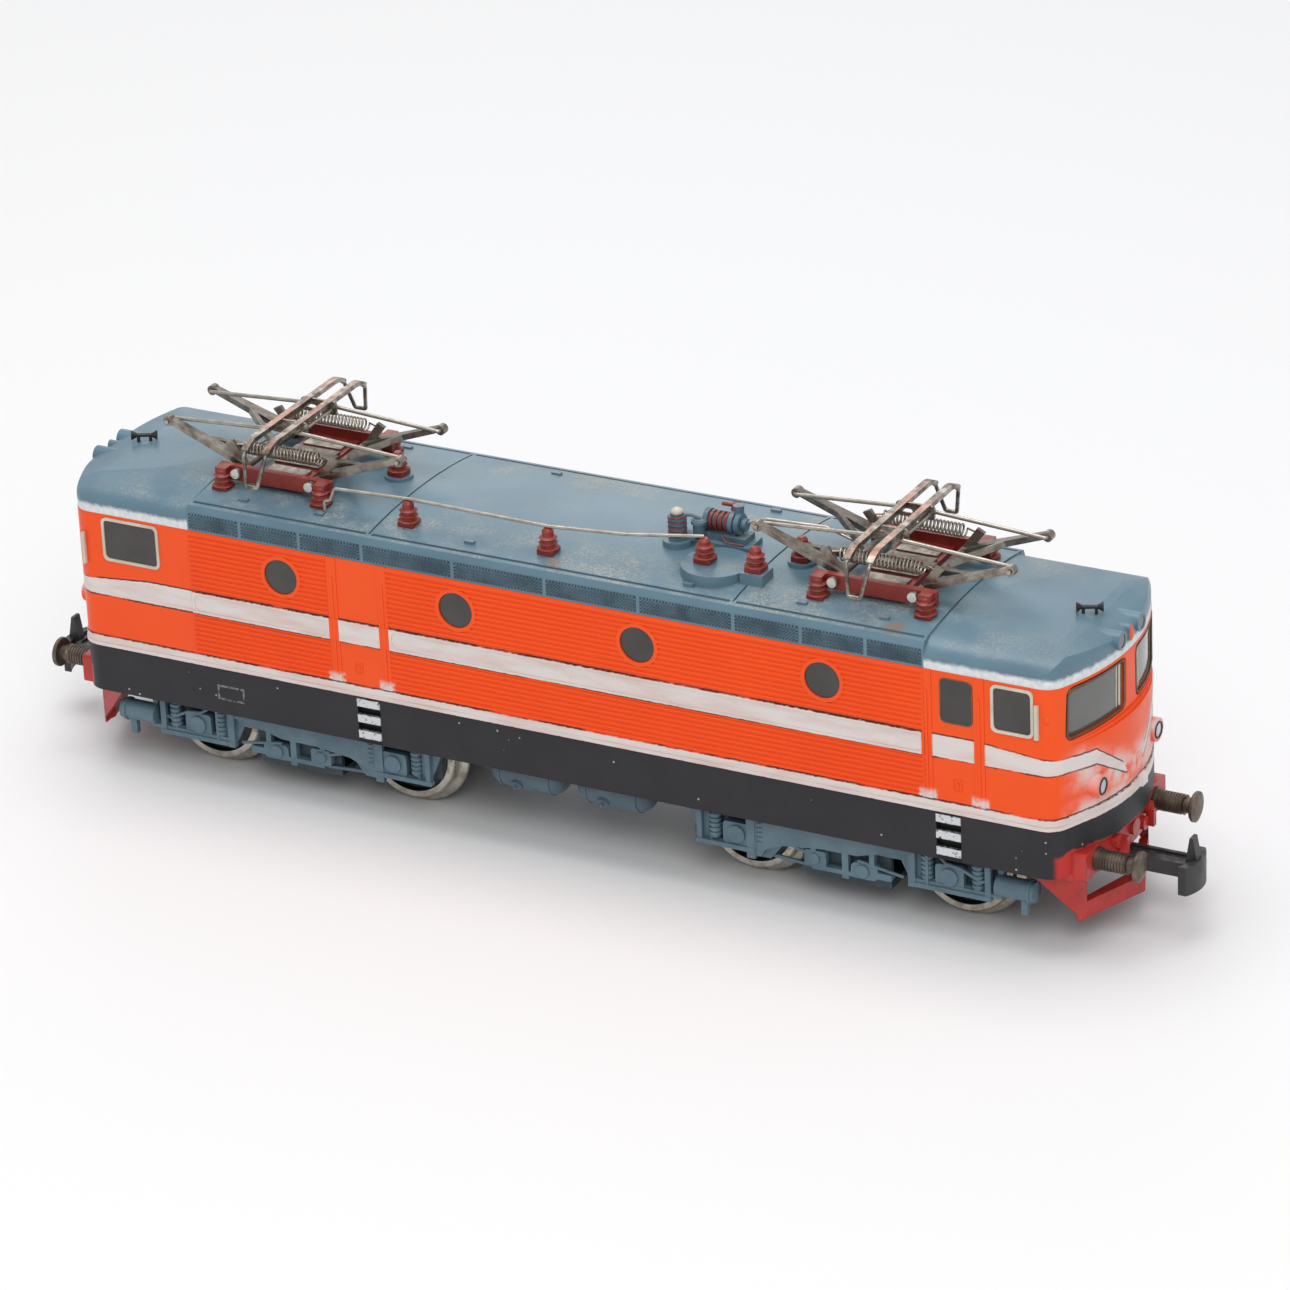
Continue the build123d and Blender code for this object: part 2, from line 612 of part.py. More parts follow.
def tank_pair():
    """The two air tanks of the near side, with their end bands and drain cocks."""
    with BuildPart() as tanks:
        for start, end in TANK_SPANS:
            with BuildSketch(Plane.XY):
                with BuildLine():
                    Line((start, 0), (end, 0))
                    ThreePointArc(
                        (end, 0), (end - 0.3 * TANK_END_SAG, 0.7 * TANK_RADIUS),
                        (end - TANK_END_SAG, TANK_RADIUS),
                    )
                    Line((end - TANK_END_SAG, TANK_RADIUS), (start + TANK_END_SAG, TANK_RADIUS))
                    ThreePointArc(
                        (start + TANK_END_SAG, TANK_RADIUS),
                        (start + 0.3 * TANK_END_SAG, 0.7 * TANK_RADIUS),
                        (start, 0),
                    )
                make_face()
            revolve(axis=Axis.X)
            for x in (start + TANK_END_SAG, end - TANK_END_SAG):
                with Locations(Location((x, 0, 0), (0, 90, 0))):
                    Cylinder(TANK_RADIUS + 0.12, 0.4)
            with Locations(Location(((start + end) / 2 - 1.2, 0, 0), (118, 0, 0))):
                Cylinder(0.9, TANK_RADIUS + 0.35, align=STANDING)
                Cylinder(0.3, TANK_RADIUS + 0.9, align=STANDING)
        with Locations((0, 0, TANK_SEAT_Z - TANK_Z)):
            Box(60, 20, 10, align=STANDING, mode=Mode.SUBTRACT)
    return tanks.part.moved(Location((0, -TANK_Y, TANK_Z)))


save(tank_pair(), "air_tanks_near")
save(half_turned(tank_pair()), "air_tanks_far")

with BuildPart() as body_screws:
    # come up through the deck into the lugs of the body
    for y in (-SCREW_Y, SCREW_Y):
        with Locations((0, y, DECK_Z[0])):
            Cylinder(1.5, 1.0, align=HANGING)
            Cylinder(0.85, 5.5, align=STANDING)
        with Locations((0, y, DECK_Z[0] - 1.0)):
            Box(3.2, 0.4, 0.9, mode=Mode.SUBTRACT)

save(body_screws.part, "body_screws")

with BuildPart() as reversing_unit:
    # relay on the deck: yoke, coil and armature plate
    with Locations((0, 0, DECK_Z[1])):
        Box(15, 9, 1.5, align=STANDING)
        Box(1.5, 9, 12, align=STANDING)
    with Locations(Location((0.7, 0, DECK_Z[1] + 6.5), (0, 90, 0))):
        Cylinder(3.6, 6.4, align=STANDING)
    with Locations((-4.5, 0, DECK_Z[1] + 1.5)):
        Box(4.5, 7, 6, align=STANDING)

save(reversing_unit.part, "reversing_unit")

with BuildPart() as ballast_weight:
    with Locations((-BOGIE_X, 0, DECK_Z[1])):
        Box(34, 20, 11, align=STANDING)
        Cylinder(4.5, 3, align=STANDING, mode=Mode.SUBTRACT)
    chamfer(ballast_weight.faces().sort_by(Axis.Z)[-1].edges(), 1.5)

save(ballast_weight.part, "ballast_weight")

# ---------------------------------------------------------------- buffer beams, ploughs and buffers
BEAM_Z = (11.8, BEAM_NOTCH_Z - 0.05)
BLADE_Z = (4.6, 7.2)
BLADE_TIP_X = 84.9
BLADE_CORNER = (80.2, 11.9)
BLADE_THICKNESS = 2.2
CHEEK_BACK = (75.0, 14.6)
BUFFER_ROOT_X = 82.1

with BuildPart() as plough_cheek:
    # slanting side plate from the near end of the blade back to the skirt
    with BuildSketch(Plane.XY.offset(BLADE_Z[0])):
        with BuildLine():
            Polyline(
                (BLADE_CORNER[0], -BLADE_CORNER[1]),
                (CHEEK_BACK[0], -CHEEK_BACK[1]),
                (CHEEK_BACK[0], 1.1 - CHEEK_BACK[1]),
                (BLADE_CORNER[0] + 0.6, 1.3 - BLADE_CORNER[1]),
                close=True,
            )
        make_face()
    extrude(amount=SKIRT_Z - 0.1 - BLADE_Z[0])
    with BuildSketch(Plane.XZ.offset(5)):
        with BuildLine():
            Polyline(
                (74, 12.2), (75.2, 11.2), (79.9, 5.6), (79.9, 2.0), (90, 2.0), (90, 20), (74, 20),
                close=True,
            )
        make_face()
    extrude(amount=15, mode=Mode.INTERSECT)

with BuildPart() as buffer_beam_front:
    # curved beam in the notch of the body
    add(outline_ring(0.0, 3.2, *BEAM_Z))
    with Locations((BEAM_NOTCH_X + 8, 0, 14)):
        Box(16, 2 * BEAM_HALF_WIDTH - 0.1, 10, mode=Mode.INTERSECT)
    # cut back to clear the end block
    with Locations((END_BLOCK_X[1], 0, 14)):
        Box(20, 30, 10, align=(Align.MAX, Align.CENTER, Align.CENTER), mode=Mode.SUBTRACT)
    # square blocks behind the buffers
    with BuildSketch(Plane.YZ.offset(BUFFER_ROOT_X - 4.2)):
        with Locations([(side * (BUFFER_Y + 1.0), sum(BEAM_Z) / 2) for side in (-1, 1)]):
            RectangleRounded(5.6, BEAM_Z[1] - BEAM_Z[0], 0.5)
    extrude(amount=4.2)
    # V-shaped plough blade with a ledge along it
    with BuildSketch(Plane.XY.offset(BLADE_Z[0])):
        with BuildLine():
            corner_x, corner_y = BLADE_CORNER
            Polyline(
                (corner_x, -corner_y), (BLADE_TIP_X, 0), (corner_x, corner_y),
                (corner_x - BLADE_THICKNESS * 0.2, corner_y - BLADE_THICKNESS),
                (BLADE_TIP_X - BLADE_THICKNESS, 0),
                (corner_x - BLADE_THICKNESS * 0.2, BLADE_THICKNESS - corner_y),
                close=True,
            )
        make_face()
    extrude(amount=BLADE_Z[1] - BLADE_Z[0])
    add(plough_cheek.part)
    add(mirror(plough_cheek.part, about=Plane.XZ, mode=Mode.PRIVATE))
    # draw hook, brake-hose cocks and their bosses
    with BuildSketch(Plane.YZ.offset(80.5)):
        with Locations((-5.2, 14.6), (-3.0, 13.4), (3.8, 13.2), (5.6, 14.8)):
            Circle(1.0)
        with Locations((0.4, 14.3)):
            Circle(1.25)
    extrude(amount=3.0)
    with Locations((83.6, -4.0, 13.6), (83.6, 5.2, 13.6)):
        Box(1.2, 0.9, 2.6)
    # sockets of the buffers
    for side in (-1, 1):
        with Locations(Location((BUFFER_ROOT_X + 1, side * BUFFER_Y, BUFFER_Z), (0, 90, 0))):
            Cylinder(0.8, 3.6, align=HANGING, mode=Mode.SUBTRACT)

save(buffer_beam_front.part, "buffer_beam_front")
save(half_turned(buffer_beam_front.part), "buffer_beam_rear")

SLEEVE_RINGS = [
    (0.5 + 0.45 * ring + dx, 1.5 - depth)
    for ring in range(9)
    for dx, depth in ((0, 0), (0.25, 0), (0.25, 0.16), (0.45, 0.16))
]

with BuildPart() as buffer_turning:
    # turned from one bar: root, ringed sleeve, plunger and domed head
    with BuildSketch(Plane.XY):
        with BuildLine():
            Polyline(
                (-2.4, 0), (-2.4, 0.8), (0, 0.8), (0, 1.75),
                (0.5, 1.75), *SLEEVE_RINGS, (4.8, 1.5), (4.8, 1.15),
                (6.0, 1.15), (6.0, 2.1), (6.15, 2.25), (6.55, 2.25), (6.8, 1.4), (6.9, 0), (-2.4, 0),
            )
        make_face()
    revolve(axis=Axis.X)

with BuildPart() as buffers:
    for turn in (0, 180):
        for side in (-1, 1):
            placed = buffer_turning.part.moved(Location((BUFFER_ROOT_X, side * BUFFER_Y, BUFFER_Z)))
            add(placed.rotate(Axis.Z, turn))

save(buffers.part, "buffers")

# ---------------------------------------------------------------- couplers
COUPLER_HEAD_X = (91.6, 92.9)

with BuildPart() as coupler_front:
    with BuildSketch(Plane.XY.offset(COUPLER_Z - 1.1)):
        with Locations((COUPLER_PIVOT_X, 0)):
            Circle(2.3)
        with Locations((COUPLER_PIVOT_X, 0)):
            Rectangle(COUPLER_HEAD_X[0] - COUPLER_PIVOT_X, 3.4, align=(Align.MIN, Align.CENTER))
        with Locations((COUPLER_PIVOT_X, 0)):
            Circle(1.05, mode=Mode.SUBTRACT)
    extrude(amount=2.2)
    # shallow trough along the shank
    with Locations((85.5, 0, COUPLER_Z + 1.1)):
        Box(11, 2.2, 0.8, mode=Mode.SUBTRACT)
    # bowed head plate with a claw below and a locating horn above
    with BuildSketch(Plane.XY.offset(7.0)):
        with BuildLine():
            ThreePointArc((92.6, -3.5), (93.7, 0), (92.6, 3.5))
            Line((92.6, 3.5), (91.4, 3.5))
            ThreePointArc((91.4, 3.5), (92.3, 0), (91.4, -3.5))
            Line((91.4, -3.5), (92.6, -3.5))
        make_face()
    extrude(amount=4.4)
    with BuildSketch(Plane.XZ.offset(-0.6)):
        with BuildLine():
            Polyline((91.4, 10.5), (93.4, 10.5), (92.6, 14.8), (92.1, 14.8), close=True)
        make_face()
    extrude(amount=1.6)

save(coupler_front.part, "coupler_front")
save(half_turned(coupler_front.part), "coupler_rear")

with BuildPart() as coupler_screws:
    for direction in (-1, 1):
        with Locations((direction * COUPLER_PIVOT_X, 0, END_BLOCK_BOTTOM_Z - 2.6)):
            Cylinder(1.8, 0.7, align=HANGING)
        with Locations((direction * COUPLER_PIVOT_X, 0, END_BLOCK_BOTTOM_Z - 3.3)):
            Box(3.8, 0.4, 0.6, mode=Mode.SUBTRACT)

save(coupler_screws.part, "coupler_screws")

# ---------------------------------------------------------------- wheelsets and gears
ADDENDUM = 0.9 * GEAR_MODULE
DEDENDUM = 1.2 * GEAR_MODULE
TOOTH_PITCH = math.pi * GEAR_MODULE
AXLE_RADIUS = 1.25
RUNNING_GAP = 0.05
TYRE_DEPTH = 0.3
TYRE_RING_WIDTH = 1.1


def pitch_radius(teeth):
    return teeth * GEAR_MODULE / 2


MAIN_GEAR_Z = AXLE_Z + math.sqrt(
    (pitch_radius(AXLE_TEETH) + pitch_radius(MAIN_TEETH)) ** 2 - AXLE_OFFSET ** 2
)
ARMATURE_Z = MAIN_GEAR_Z + pitch_radius(MAIN_TEETH) + pitch_radius(PINION_TEETH)
MAIN_GEAR_TURN = math.degrees(math.atan2(AXLE_Z - MAIN_GEAR_Z, AXLE_OFFSET))


def gear_sketch(teeth, turn):
    """Straight-flanked gear in the XZ plane, with a tooth centred at the angle turn."""
    radius = pitch_radius(teeth)
    with BuildSketch(Plane.XZ) as gear:
        Circle(radius - DEDENDUM)
        with PolarLocations(0, teeth, start_angle=turn):
            with BuildLine():
                Polyline(
                    (radius - DEDENDUM - 0.3, -0.30 * TOOTH_PITCH),
                    (radius + ADDENDUM, -0.10 * TOOTH_PITCH),
                    (radius + ADDENDUM, 0.10 * TOOTH_PITCH),
                    (radius - DEDENDUM - 0.3, 0.30 * TOOTH_PITCH),
                    close=True,
                )
            make_face()
    return gear.sketch


def meshing_turn(line_angle, teeth):
    """Turn of a gear that meshes with the main gear along the line at line_angle."""
    main_step = 360 / MAIN_TEETH
    own_step = 360 / teeth
    phase = ((line_angle - MAIN_GEAR_TURN) / main_step) % 1
    return line_angle + 180 + (phase + 0.5) * own_step


def wheelset(gear_teeth_turn=None, tyre_groove=False):
    """Axle with two flanged wheels, centred on the origin, and a gear where the axle is driven."""
    inner = BACK_TO_BACK / 2
    outer = inner + TYRE_WIDTH
    with BuildPart() as wheels:
        # half profile: radius along x, distance from the middle along y
        with BuildSketch(Plane.XY):
            with BuildLine():
                Polyline(
                    (0, 0), (AXLE_RADIUS, 0), (AXLE_RADIUS, inner - 0.4),
                    (2.6, inner - 0.4), (2.6, inner + 0.5),
                    (5.9, inner + 0.5), (5.9, inner), (FLANGE_RADIUS - 0.25, inner),
                )
                ThreePointArc(
                    (FLANGE_RADIUS - 0.25, inner), (FLANGE_RADIUS, inner + 0.35),
                    (FLANGE_RADIUS - 0.3, inner + 0.75),
                )
                Polyline(
                    (FLANGE_RADIUS - 0.3, inner + 0.75), (TREAD_RADIUS + 0.25, inner + 0.95),
                    (TREAD_RADIUS, inner + 1.2), (TREAD_RADIUS - 0.05, outer - 0.2),
                    (TREAD_RADIUS - 0.25, outer),
                    (6.3, outer), (6.1, outer - 0.9), (2.7, outer - 0.9),
                    (2.5, outer - 0.2), (AXLE_RADIUS, outer - 0.2),
                    (AXLE_RADIUS, outer), (0, outer), (0, 0),
                )
            make_face()
        revolve(axis=Axis.Y)
        if tyre_groove:
            with BuildSketch(Plane.XY):
                with Locations((TREAD_RADIUS, outer - 0.85)):
                    Rectangle(2 * TYRE_DEPTH, TYRE_RING_WIDTH)
            revolve(axis=Axis.Y, mode=Mode.SUBTRACT)
        mirror(about=Plane.XZ)
        if gear_teeth_turn is not None:
            gear = gear_sketch(AXLE_TEETH, gear_teeth_turn).moved(Location((0, GEAR_Y + GEAR_WIDTH / 2, 0)))
            extrude(gear, amount=GEAR_WIDTH)
    return wheels.part


inner_turn = meshing_turn(180 - MAIN_GEAR_TURN, AXLE_TEETH)
outer_turn = meshing_turn(MAIN_GEAR_TURN, AXLE_TEETH)
WHEELSETS = (
    ("drive_wheelset_inner", BOGIE_X - AXLE_OFFSET, inner_turn, False),
    ("drive_wheelset_outer", BOGIE_X + AXLE_OFFSET, outer_turn, True),
    ("trailing_wheelset_inner", AXLE_OFFSET - BOGIE_X, None, False),
    ("trailing_wheelset_outer", -AXLE_OFFSET - BOGIE_X, None, False),
)
for label, x, turn, grooved in WHEELSETS:
    save(wheelset(turn, grooved).moved(Location((x, 0, AXLE_Z))), label)

with BuildPart() as traction_tyres:
    # rubber rings in the treads of the outer drive wheels
    ring_y = BACK_TO_BACK / 2 + TYRE_WIDTH - 0.85
    with BuildSketch(Plane.XY):
        with Locations((TREAD_RADIUS - TYRE_DEPTH, ring_y), (TREAD_RADIUS - TYRE_DEPTH, -ring_y)):
            Rectangle(TYRE_DEPTH + 0.02, TYRE_RING_WIDTH, align=(Align.MIN, Align.CENTER))
    revolve(axis=Axis.Y)

save(traction_tyres.part.moved(Location((BOGIE_X + AXLE_OFFSET, 0, AXLE_Z))), "traction_tyres")

# ---------------------------------------------------------------- motor bogie (drawn about its own pivot)
FRAME_Y = (-4.6, 3.5)
FRAME_BOTTOM_Z = 5.4
FRAME_TOP_Z = 20.3
STUB_RADIUS = 1.0
SHAFT_RADIUS = 1.0
MAGNET_BORE = 6.8
MAGNET_TOP_Z = 37.6
COMMUTATOR_RADIUS = 2.5
BRUSH_PLATE_Y = (-11.4, -10.2)


def at_bogie(piece, x=BOGIE_X):
    return piece.moved(Location((x, 0, 0)))


with BuildPart() as motor_bogie_frame:
    # side view of the casting
    with BuildSketch(Plane.XZ.offset(-FRAME_Y[1])):
        with BuildLine():
            Polyline(
                (-21, FRAME_BOTTOM_Z), (21, FRAME_BOTTOM_Z), (21, 12.6),
                (12.4, 12.6), (12.4, FRAME_TOP_Z),
                (-12.4, FRAME_TOP_Z), (-12.4, 12.6), (-21, 12.6), close=True,
            )
        make_face()
        with Locations((-AXLE_OFFSET, AXLE_Z), (AXLE_OFFSET, AXLE_Z)):
            Circle(AXLE_RADIUS + RUNNING_GAP, mode=Mode.SUBTRACT)
    extrude(amount=FRAME_Y[1] - FRAME_Y[0])
    # turntable ring in the deck and its bearing flange below
    with BuildSketch(Plane.XY.offset(DECK_Z[0] - 0.7)):
        Circle(RING_RADIUS + 1.2)
        Circle(12.1, mode=Mode.SUBTRACT)
    extrude(amount=0.65)
    with BuildSketch(Plane.XY.offset(DECK_Z[0] - 0.05)):
        Circle(RING_RADIUS)
        Circle(12.1, mode=Mode.SUBTRACT)
    extrude(amount=DECK_Z[1] - DECK_Z[0] + 0.25)
    # stub axle of the main gear
    with BuildSketch(Plane.XZ.offset(-FRAME_Y[1])):
        with Locations((0, MAIN_GEAR_Z)):
            Circle(STUB_RADIUS)
    extrude(amount=-2.6)
    # bearing plate of the armature shaft
    with BuildSketch(Plane.XZ.offset(-FRAME_Y[1])):
        with Locations((0, FRAME_TOP_Z)):
            Rectangle(17, 12, align=(Align.CENTER, Align.MIN))
        with Locations((0, ARMATURE_Z)):
            Circle(SHAFT_RADIUS + RUNNING_GAP, mode=Mode.SUBTRACT)
    extrude(amount=0.9)

save(at_bogie(motor_bogie_frame.part), "motor_bogie_frame")

with BuildPart() as main_gear:
    gear_place = Location((0, GEAR_Y + GEAR_WIDTH / 2, MAIN_GEAR_Z))
    gear = gear_sketch(MAIN_TEETH, MAIN_GEAR_TURN).moved(gear_place)
    extrude(gear, amount=GEAR_WIDTH)
    with BuildSketch(Plane.XZ.offset(-GEAR_Y - GEAR_WIDTH)):
        with Locations((0, MAIN_GEAR_Z)):
            Circle(STUB_RADIUS + RUNNING_GAP)
            with PolarLocations(6.4, 6):
                Circle(2.0)
    extrude(amount=2 * GEAR_WIDTH, mode=Mode.SUBTRACT)

save(at_bogie(main_gear.part), "main_gear")

with BuildPart() as field_magnet:
    # laminated stack with the armature tunnel
    with BuildSketch(Plane.XZ.offset(-2.4)):
        with Locations((0, FRAME_TOP_Z)):
            Rectangle(20, MAGNET_TOP_Z - FRAME_TOP_Z, align=(Align.CENTER, Align.MIN))
        with Locations((0, ARMATURE_Z)):
            Circle(MAGNET_BORE, mode=Mode.SUBTRACT)
        # windows of the coil
        with Locations((0, 0.5 * (ARMATURE_Z + MAGNET_BORE + MAGNET_TOP_Z) - 0.6)):
            SlotCenterToCenter(11, 0.5, mode=Mode.SUBTRACT)
    extrude(amount=7.0)

save(at_bogie(field_magnet.part), "field_magnet")

with BuildPart() as field_coil:
    with Locations((0, -1.1, MAGNET_TOP_Z)):
        Box(11, 8.4, 3.2, align=STANDING)
    fillet(field_coil.edges().filter_by(Axis.X), 1.2)

save(at_bogie(field_coil.part), "field_coil")

with BuildPart() as armature:
    # shaft along y, three-pole core, drum commutator and pinion
    with BuildSketch(Plane.XZ.offset(-6.3)):
        Circle(SHAFT_RADIUS)
    extrude(amount=6.3 - BRUSH_PLATE_Y[0] + 0.6)
    with BuildSketch(Plane.XZ.offset(-1.9)):
        Circle(MAGNET_BORE - 0.4)
        with PolarLocations(5.0, 3):
            Rectangle(3.6, 1.2, mode=Mode.SUBTRACT)
    extrude(amount=6.0)
    with BuildSketch(Plane.XZ.offset(5.0)):
        Circle(COMMUTATOR_RADIUS)
    extrude(amount=4.0)
    pinion_turn = meshing_turn(90, PINION_TEETH)
    pinion = gear_sketch(PINION_TEETH, pinion_turn).moved(Location((0, GEAR_Y + GEAR_WIDTH / 2, 0)))
    extrude(pinion, amount=GEAR_WIDTH)

save(at_bogie(armature.part.moved(Location((0, 0, ARMATURE_Z)))), "armature")

with BuildPart() as brush_plate:
    # moulded end plate with the bearing, two brush tubes and four pillars
    with BuildSketch(Plane.XZ.offset(-BRUSH_PLATE_Y[0])):
        with Locations((0, ARMATURE_Z)):
            Rectangle(19, 12.6)
            Circle(SHAFT_RADIUS + RUNNING_GAP, mode=Mode.SUBTRACT)
    extrude(amount=BRUSH_PLATE_Y[0] - BRUSH_PLATE_Y[1])
    for x in (-8.3, 8.3):
        for z in (-4.9, 4.9):
            with BuildSketch(Plane.XZ.offset(-BRUSH_PLATE_Y[1])):
                with Locations((x, ARMATURE_Z + z)):
                    Circle(1.1)
            extrude(amount=BRUSH_PLATE_Y[1] + 4.6)
    for direction in (-1, 1):
        with Locations((direction * 5.9, -8.2, ARMATURE_Z)):
            Box(4.4, 4.0, 4.0)
    with Locations(Location((0, -7.3, ARMATURE_Z), (0, 90, 0))):
        Cylinder(1.05, 30, mode=Mode.SUBTRACT)

save(at_bogie(brush_plate.part), "brush_plate")

with BuildPart() as carbon_brushes:
    for direction in (-1, 1):
        with BuildSketch(Plane.YZ.offset(direction * (COMMUTATOR_RADIUS + RUNNING_GAP))):
            with Locations((-7.3, ARMATURE_Z)):
                Circle(1.0)
        extrude(amount=direction * 4.4)

save(at_bogie(carbon_brushes.part), "carbon_brushes")

# ---------------------------------------------------------------- bogie side frames (outer end towards +x)
SIDE_FRAME_Y = (13.0, 14.2)
CYLINDER_Z = 9.2
SHOE_PIN_X = 4.0
SHOE_PIN_RADIUS = 0.8


def side_frame():
    """Near side frame of a bogie: plate, axle guards, springs, brake rigging and sand cylinder."""
    outward = Plane(origin=(0, -SIDE_FRAME_Y[1], 0), x_dir=(1, 0, 0), z_dir=(0, -1, 0))
    with BuildPart() as frame:
        with BuildSketch(outward):
            with BuildLine():
                Polyline(
                    (-24.9, 12.4), (-23.4, 8.8), (-22.3, 6.7), (-13.9, 6.7),
                    (-13.5, 5.9), (-11.6, 5.9), (-9.4, 8.7),
                    (-6.0, 9.5), (6.0, 9.9), (9.0, 9.9), (10.3, 7.2), (24.6, 7.2), (24.9, 12.4),
                    close=True,
                )
            make_face()
            # windows over the axle guards
            with Locations((-17.8, 9.6)):
                RectangleRounded(7.0, 4.4, 0.5, mode=Mode.SUBTRACT)
            with Locations((18.2, 10.0)):
                RectangleRounded(11.6, 4.2, 0.5, mode=Mode.SUBTRACT)
        extrude(amount=SIDE_FRAME_Y[0] - SIDE_FRAME_Y[1])
        # a thin web closes the windows from behind, clear of the wheels
        with BuildSketch(outward.offset(-0.9)):
            for x in (-17.8, 18.2):
                with Locations((x, 9.7)):
                    Rectangle(12.6, 4.9)
        extrude(amount=-0.3)
        # axle boxes with round covers
        for x in (-AXLE_OFFSET, AXLE_OFFSET):
            with BuildSketch(outward.offset(-0.9)):
                with Locations((x, 9.0)):
                    RectangleRounded(4.4, 3.6, 0.6)
            extrude(amount=1.4)
            with BuildSketch(outward.offset(0.4)):
                with Locations((x, AXLE_Z + 0.3)):
                    Circle(1.35)
            extrude(amount=0.45)
        # coil springs beside each axle box
        for x in (-20.4, -13.0, 13.0, 20.9):
            for turn in range(5):
                with Locations((x, -SIDE_FRAME_Y[1] + 0.2, 8.3 + 0.75 * turn)):
                    Cylinder(0.95, 0.5)
            with Locations((x, -SIDE_FRAME_Y[1] + 0.2, 9.9)):
                Cylinder(0.76, 4.4)
        # lower tie bars
        for start, end, z in ((-22.3, -13.0, 6.9), (10.3, 24.8, 7.5)):
            with BuildSketch(outward.offset(-0.2)):
                with Locations(((start + end) / 2, z)):
                    Rectangle(end - start, 0.55)
            extrude(amount=0.8)
        # top rail with bolt heads
        with BuildSketch(outward.offset(-0.1)):
            with Locations((0, 12.0)):
                Rectangle(25, 0.5)
            with Locations([(-12.0, 10.9), (-4.0, 11.0), (4.0, 11.0), (9.6, 11.1)]):
                Circle(0.35)
        extrude(amount=0.4)
        # brake gear hung in the arch
        with BuildSketch(outward.offset(-0.8)):
            with Locations((-4.3, 7.6)):
                RectangleRounded(3.4, 2.5, 0.5)
            with Locations((0.4, 7.9)):
                Rectangle(1.0, 5.0)
            with Locations((3.4, 7.1)):
                RectangleRounded(4.2, 2.4, 0.8)
            with Locations((0.0, 6.3)):
                Rectangle(9.6, 0.7)
            with Locations((6.4, 6.8)):
                RectangleRounded(2.6, 1.0, 0.3)
            with Locations((4.6, 9.2)):
                Rectangle(0.8, 2.6)
            with Locations((-4.6, 9.2)):
                Rectangle(0.8, 2.6)
        extrude(amount=1.3)
        with BuildSketch(outward.offset(0.4)):
            with Locations((3.2, 7.2)):
                Circle(0.8)
            with Locations((-4.4, 7.7)):
                Circle(0.6)
        extrude(amount=0.4)
        # slack brake pull rod between the leg and the rigging
        with BuildSketch(outward.offset(-0.7)):
            with BuildLine():
                Polyline((-12.2, 6.6), (-5.0, 6.1), (-5.0, 5.7), (-12.2, 6.1), close=True)
            make_face()
        extrude(amount=0.4)
        # sand cylinder at the outer end, with its foot
        with BuildSketch(Plane.YZ.offset(24.0)):
            with Locations((-SIDE_FRAME_Y[1] - 0.1, CYLINDER_Z)):
                Circle(1.55)
        extrude(amount=5.9)
        with Locations((28.2, -SIDE_FRAME_Y[1] - 0.1, CYLINDER_Z - 1.2)):
            Box(1.0, 0.9, 2.6, align=HANGING)
        with BuildSketch(Plane.YZ.offset(28.9)):
            with Locations((-SIDE_FRAME_Y[1] - 0.1, CYLINDER_Z)):
                Circle(1.75)
        extrude(amount=0.45)
    return frame.part


def bogie_sides(gear_slot):
    """Both side frames, joined by the cross plate under the bogie frame."""
    near = side_frame()
    with BuildPart() as sides:
        add(near)
        add(mirror(near, about=Plane.XZ, mode=Mode.PRIVATE))
        with Locations((0, 0, FRAME_BOTTOM_Z)):
            Box(14, 2 * SIDE_FRAME_Y[0] + 0.6, 1.0, align=HANGING)
        for side in (-1, 1):
            with Locations((0, side * (SIDE_FRAME_Y[0] - 0.1), FRAME_BOTTOM_Z - 1.0)):
                Box(14, 0.8, 5.4, align=STANDING)
        if gear_slot:
            # the plate is wider round the slot that the main gear dips through
            with Locations((0, GEAR_Y, FRAME_BOTTOM_Z)):
                Box(21, 4.2, 1.0, align=HANGING)
                Box(16.8, 2.2, 6.0, mode=Mode.SUBTRACT)
        else:
            with Locations((-SHOE_PIN_X, 0, FRAME_BOTTOM_Z), (SHOE_PIN_X, 0, FRAME_BOTTOM_Z)):
                Cylinder(SHOE_PIN_RADIUS + RUNNING_GAP, 4, mode=Mode.SUBTRACT)
    return sides.part


save(at_bogie(bogie_sides(gear_slot=True)), "motor_bogie_sides")
save(half_turned(at_bogie(bogie_sides(gear_slot=False))), "trailing_bogie_sides")

# ---------------------------------------------------------------- trailing bogie
PIVOT_SHANK = 1.65

with BuildPart() as trailing_bogie_frame:
    with BuildSketch(Plane.XZ.offset(-4.5)):
        with BuildLine():
            Polyline(
                (-21, FRAME_BOTTOM_Z), (21, FRAME_BOTTOM_Z), (21, 12.6), (7, 12.6),
                (7, 15), (-7, 15), (-7, 12.6),
                (-21, 12.6), close=True,
            )
        make_face()
        with Locations((-AXLE_OFFSET, AXLE_Z), (AXLE_OFFSET, AXLE_Z)):
            Circle(AXLE_RADIUS + RUNNING_GAP, mode=Mode.SUBTRACT)
    extrude(amount=9)
    with Locations((0, 0, 15)):
        Cylinder(4, DECK_Z[0] - 15.05, align=STANDING)
        Cylinder(PIVOT_SHANK, 10, mode=Mode.SUBTRACT)
    with Locations((-SHOE_PIN_X, 0, FRAME_BOTTOM_Z), (SHOE_PIN_X, 0, FRAME_BOTTOM_Z)):
        Cylinder(SHOE_PIN_RADIUS + 0.2, 2.6, align=STANDING, mode=Mode.SUBTRACT)

save(at_bogie(trailing_bogie_frame.part, -BOGIE_X), "trailing_bogie_frame")

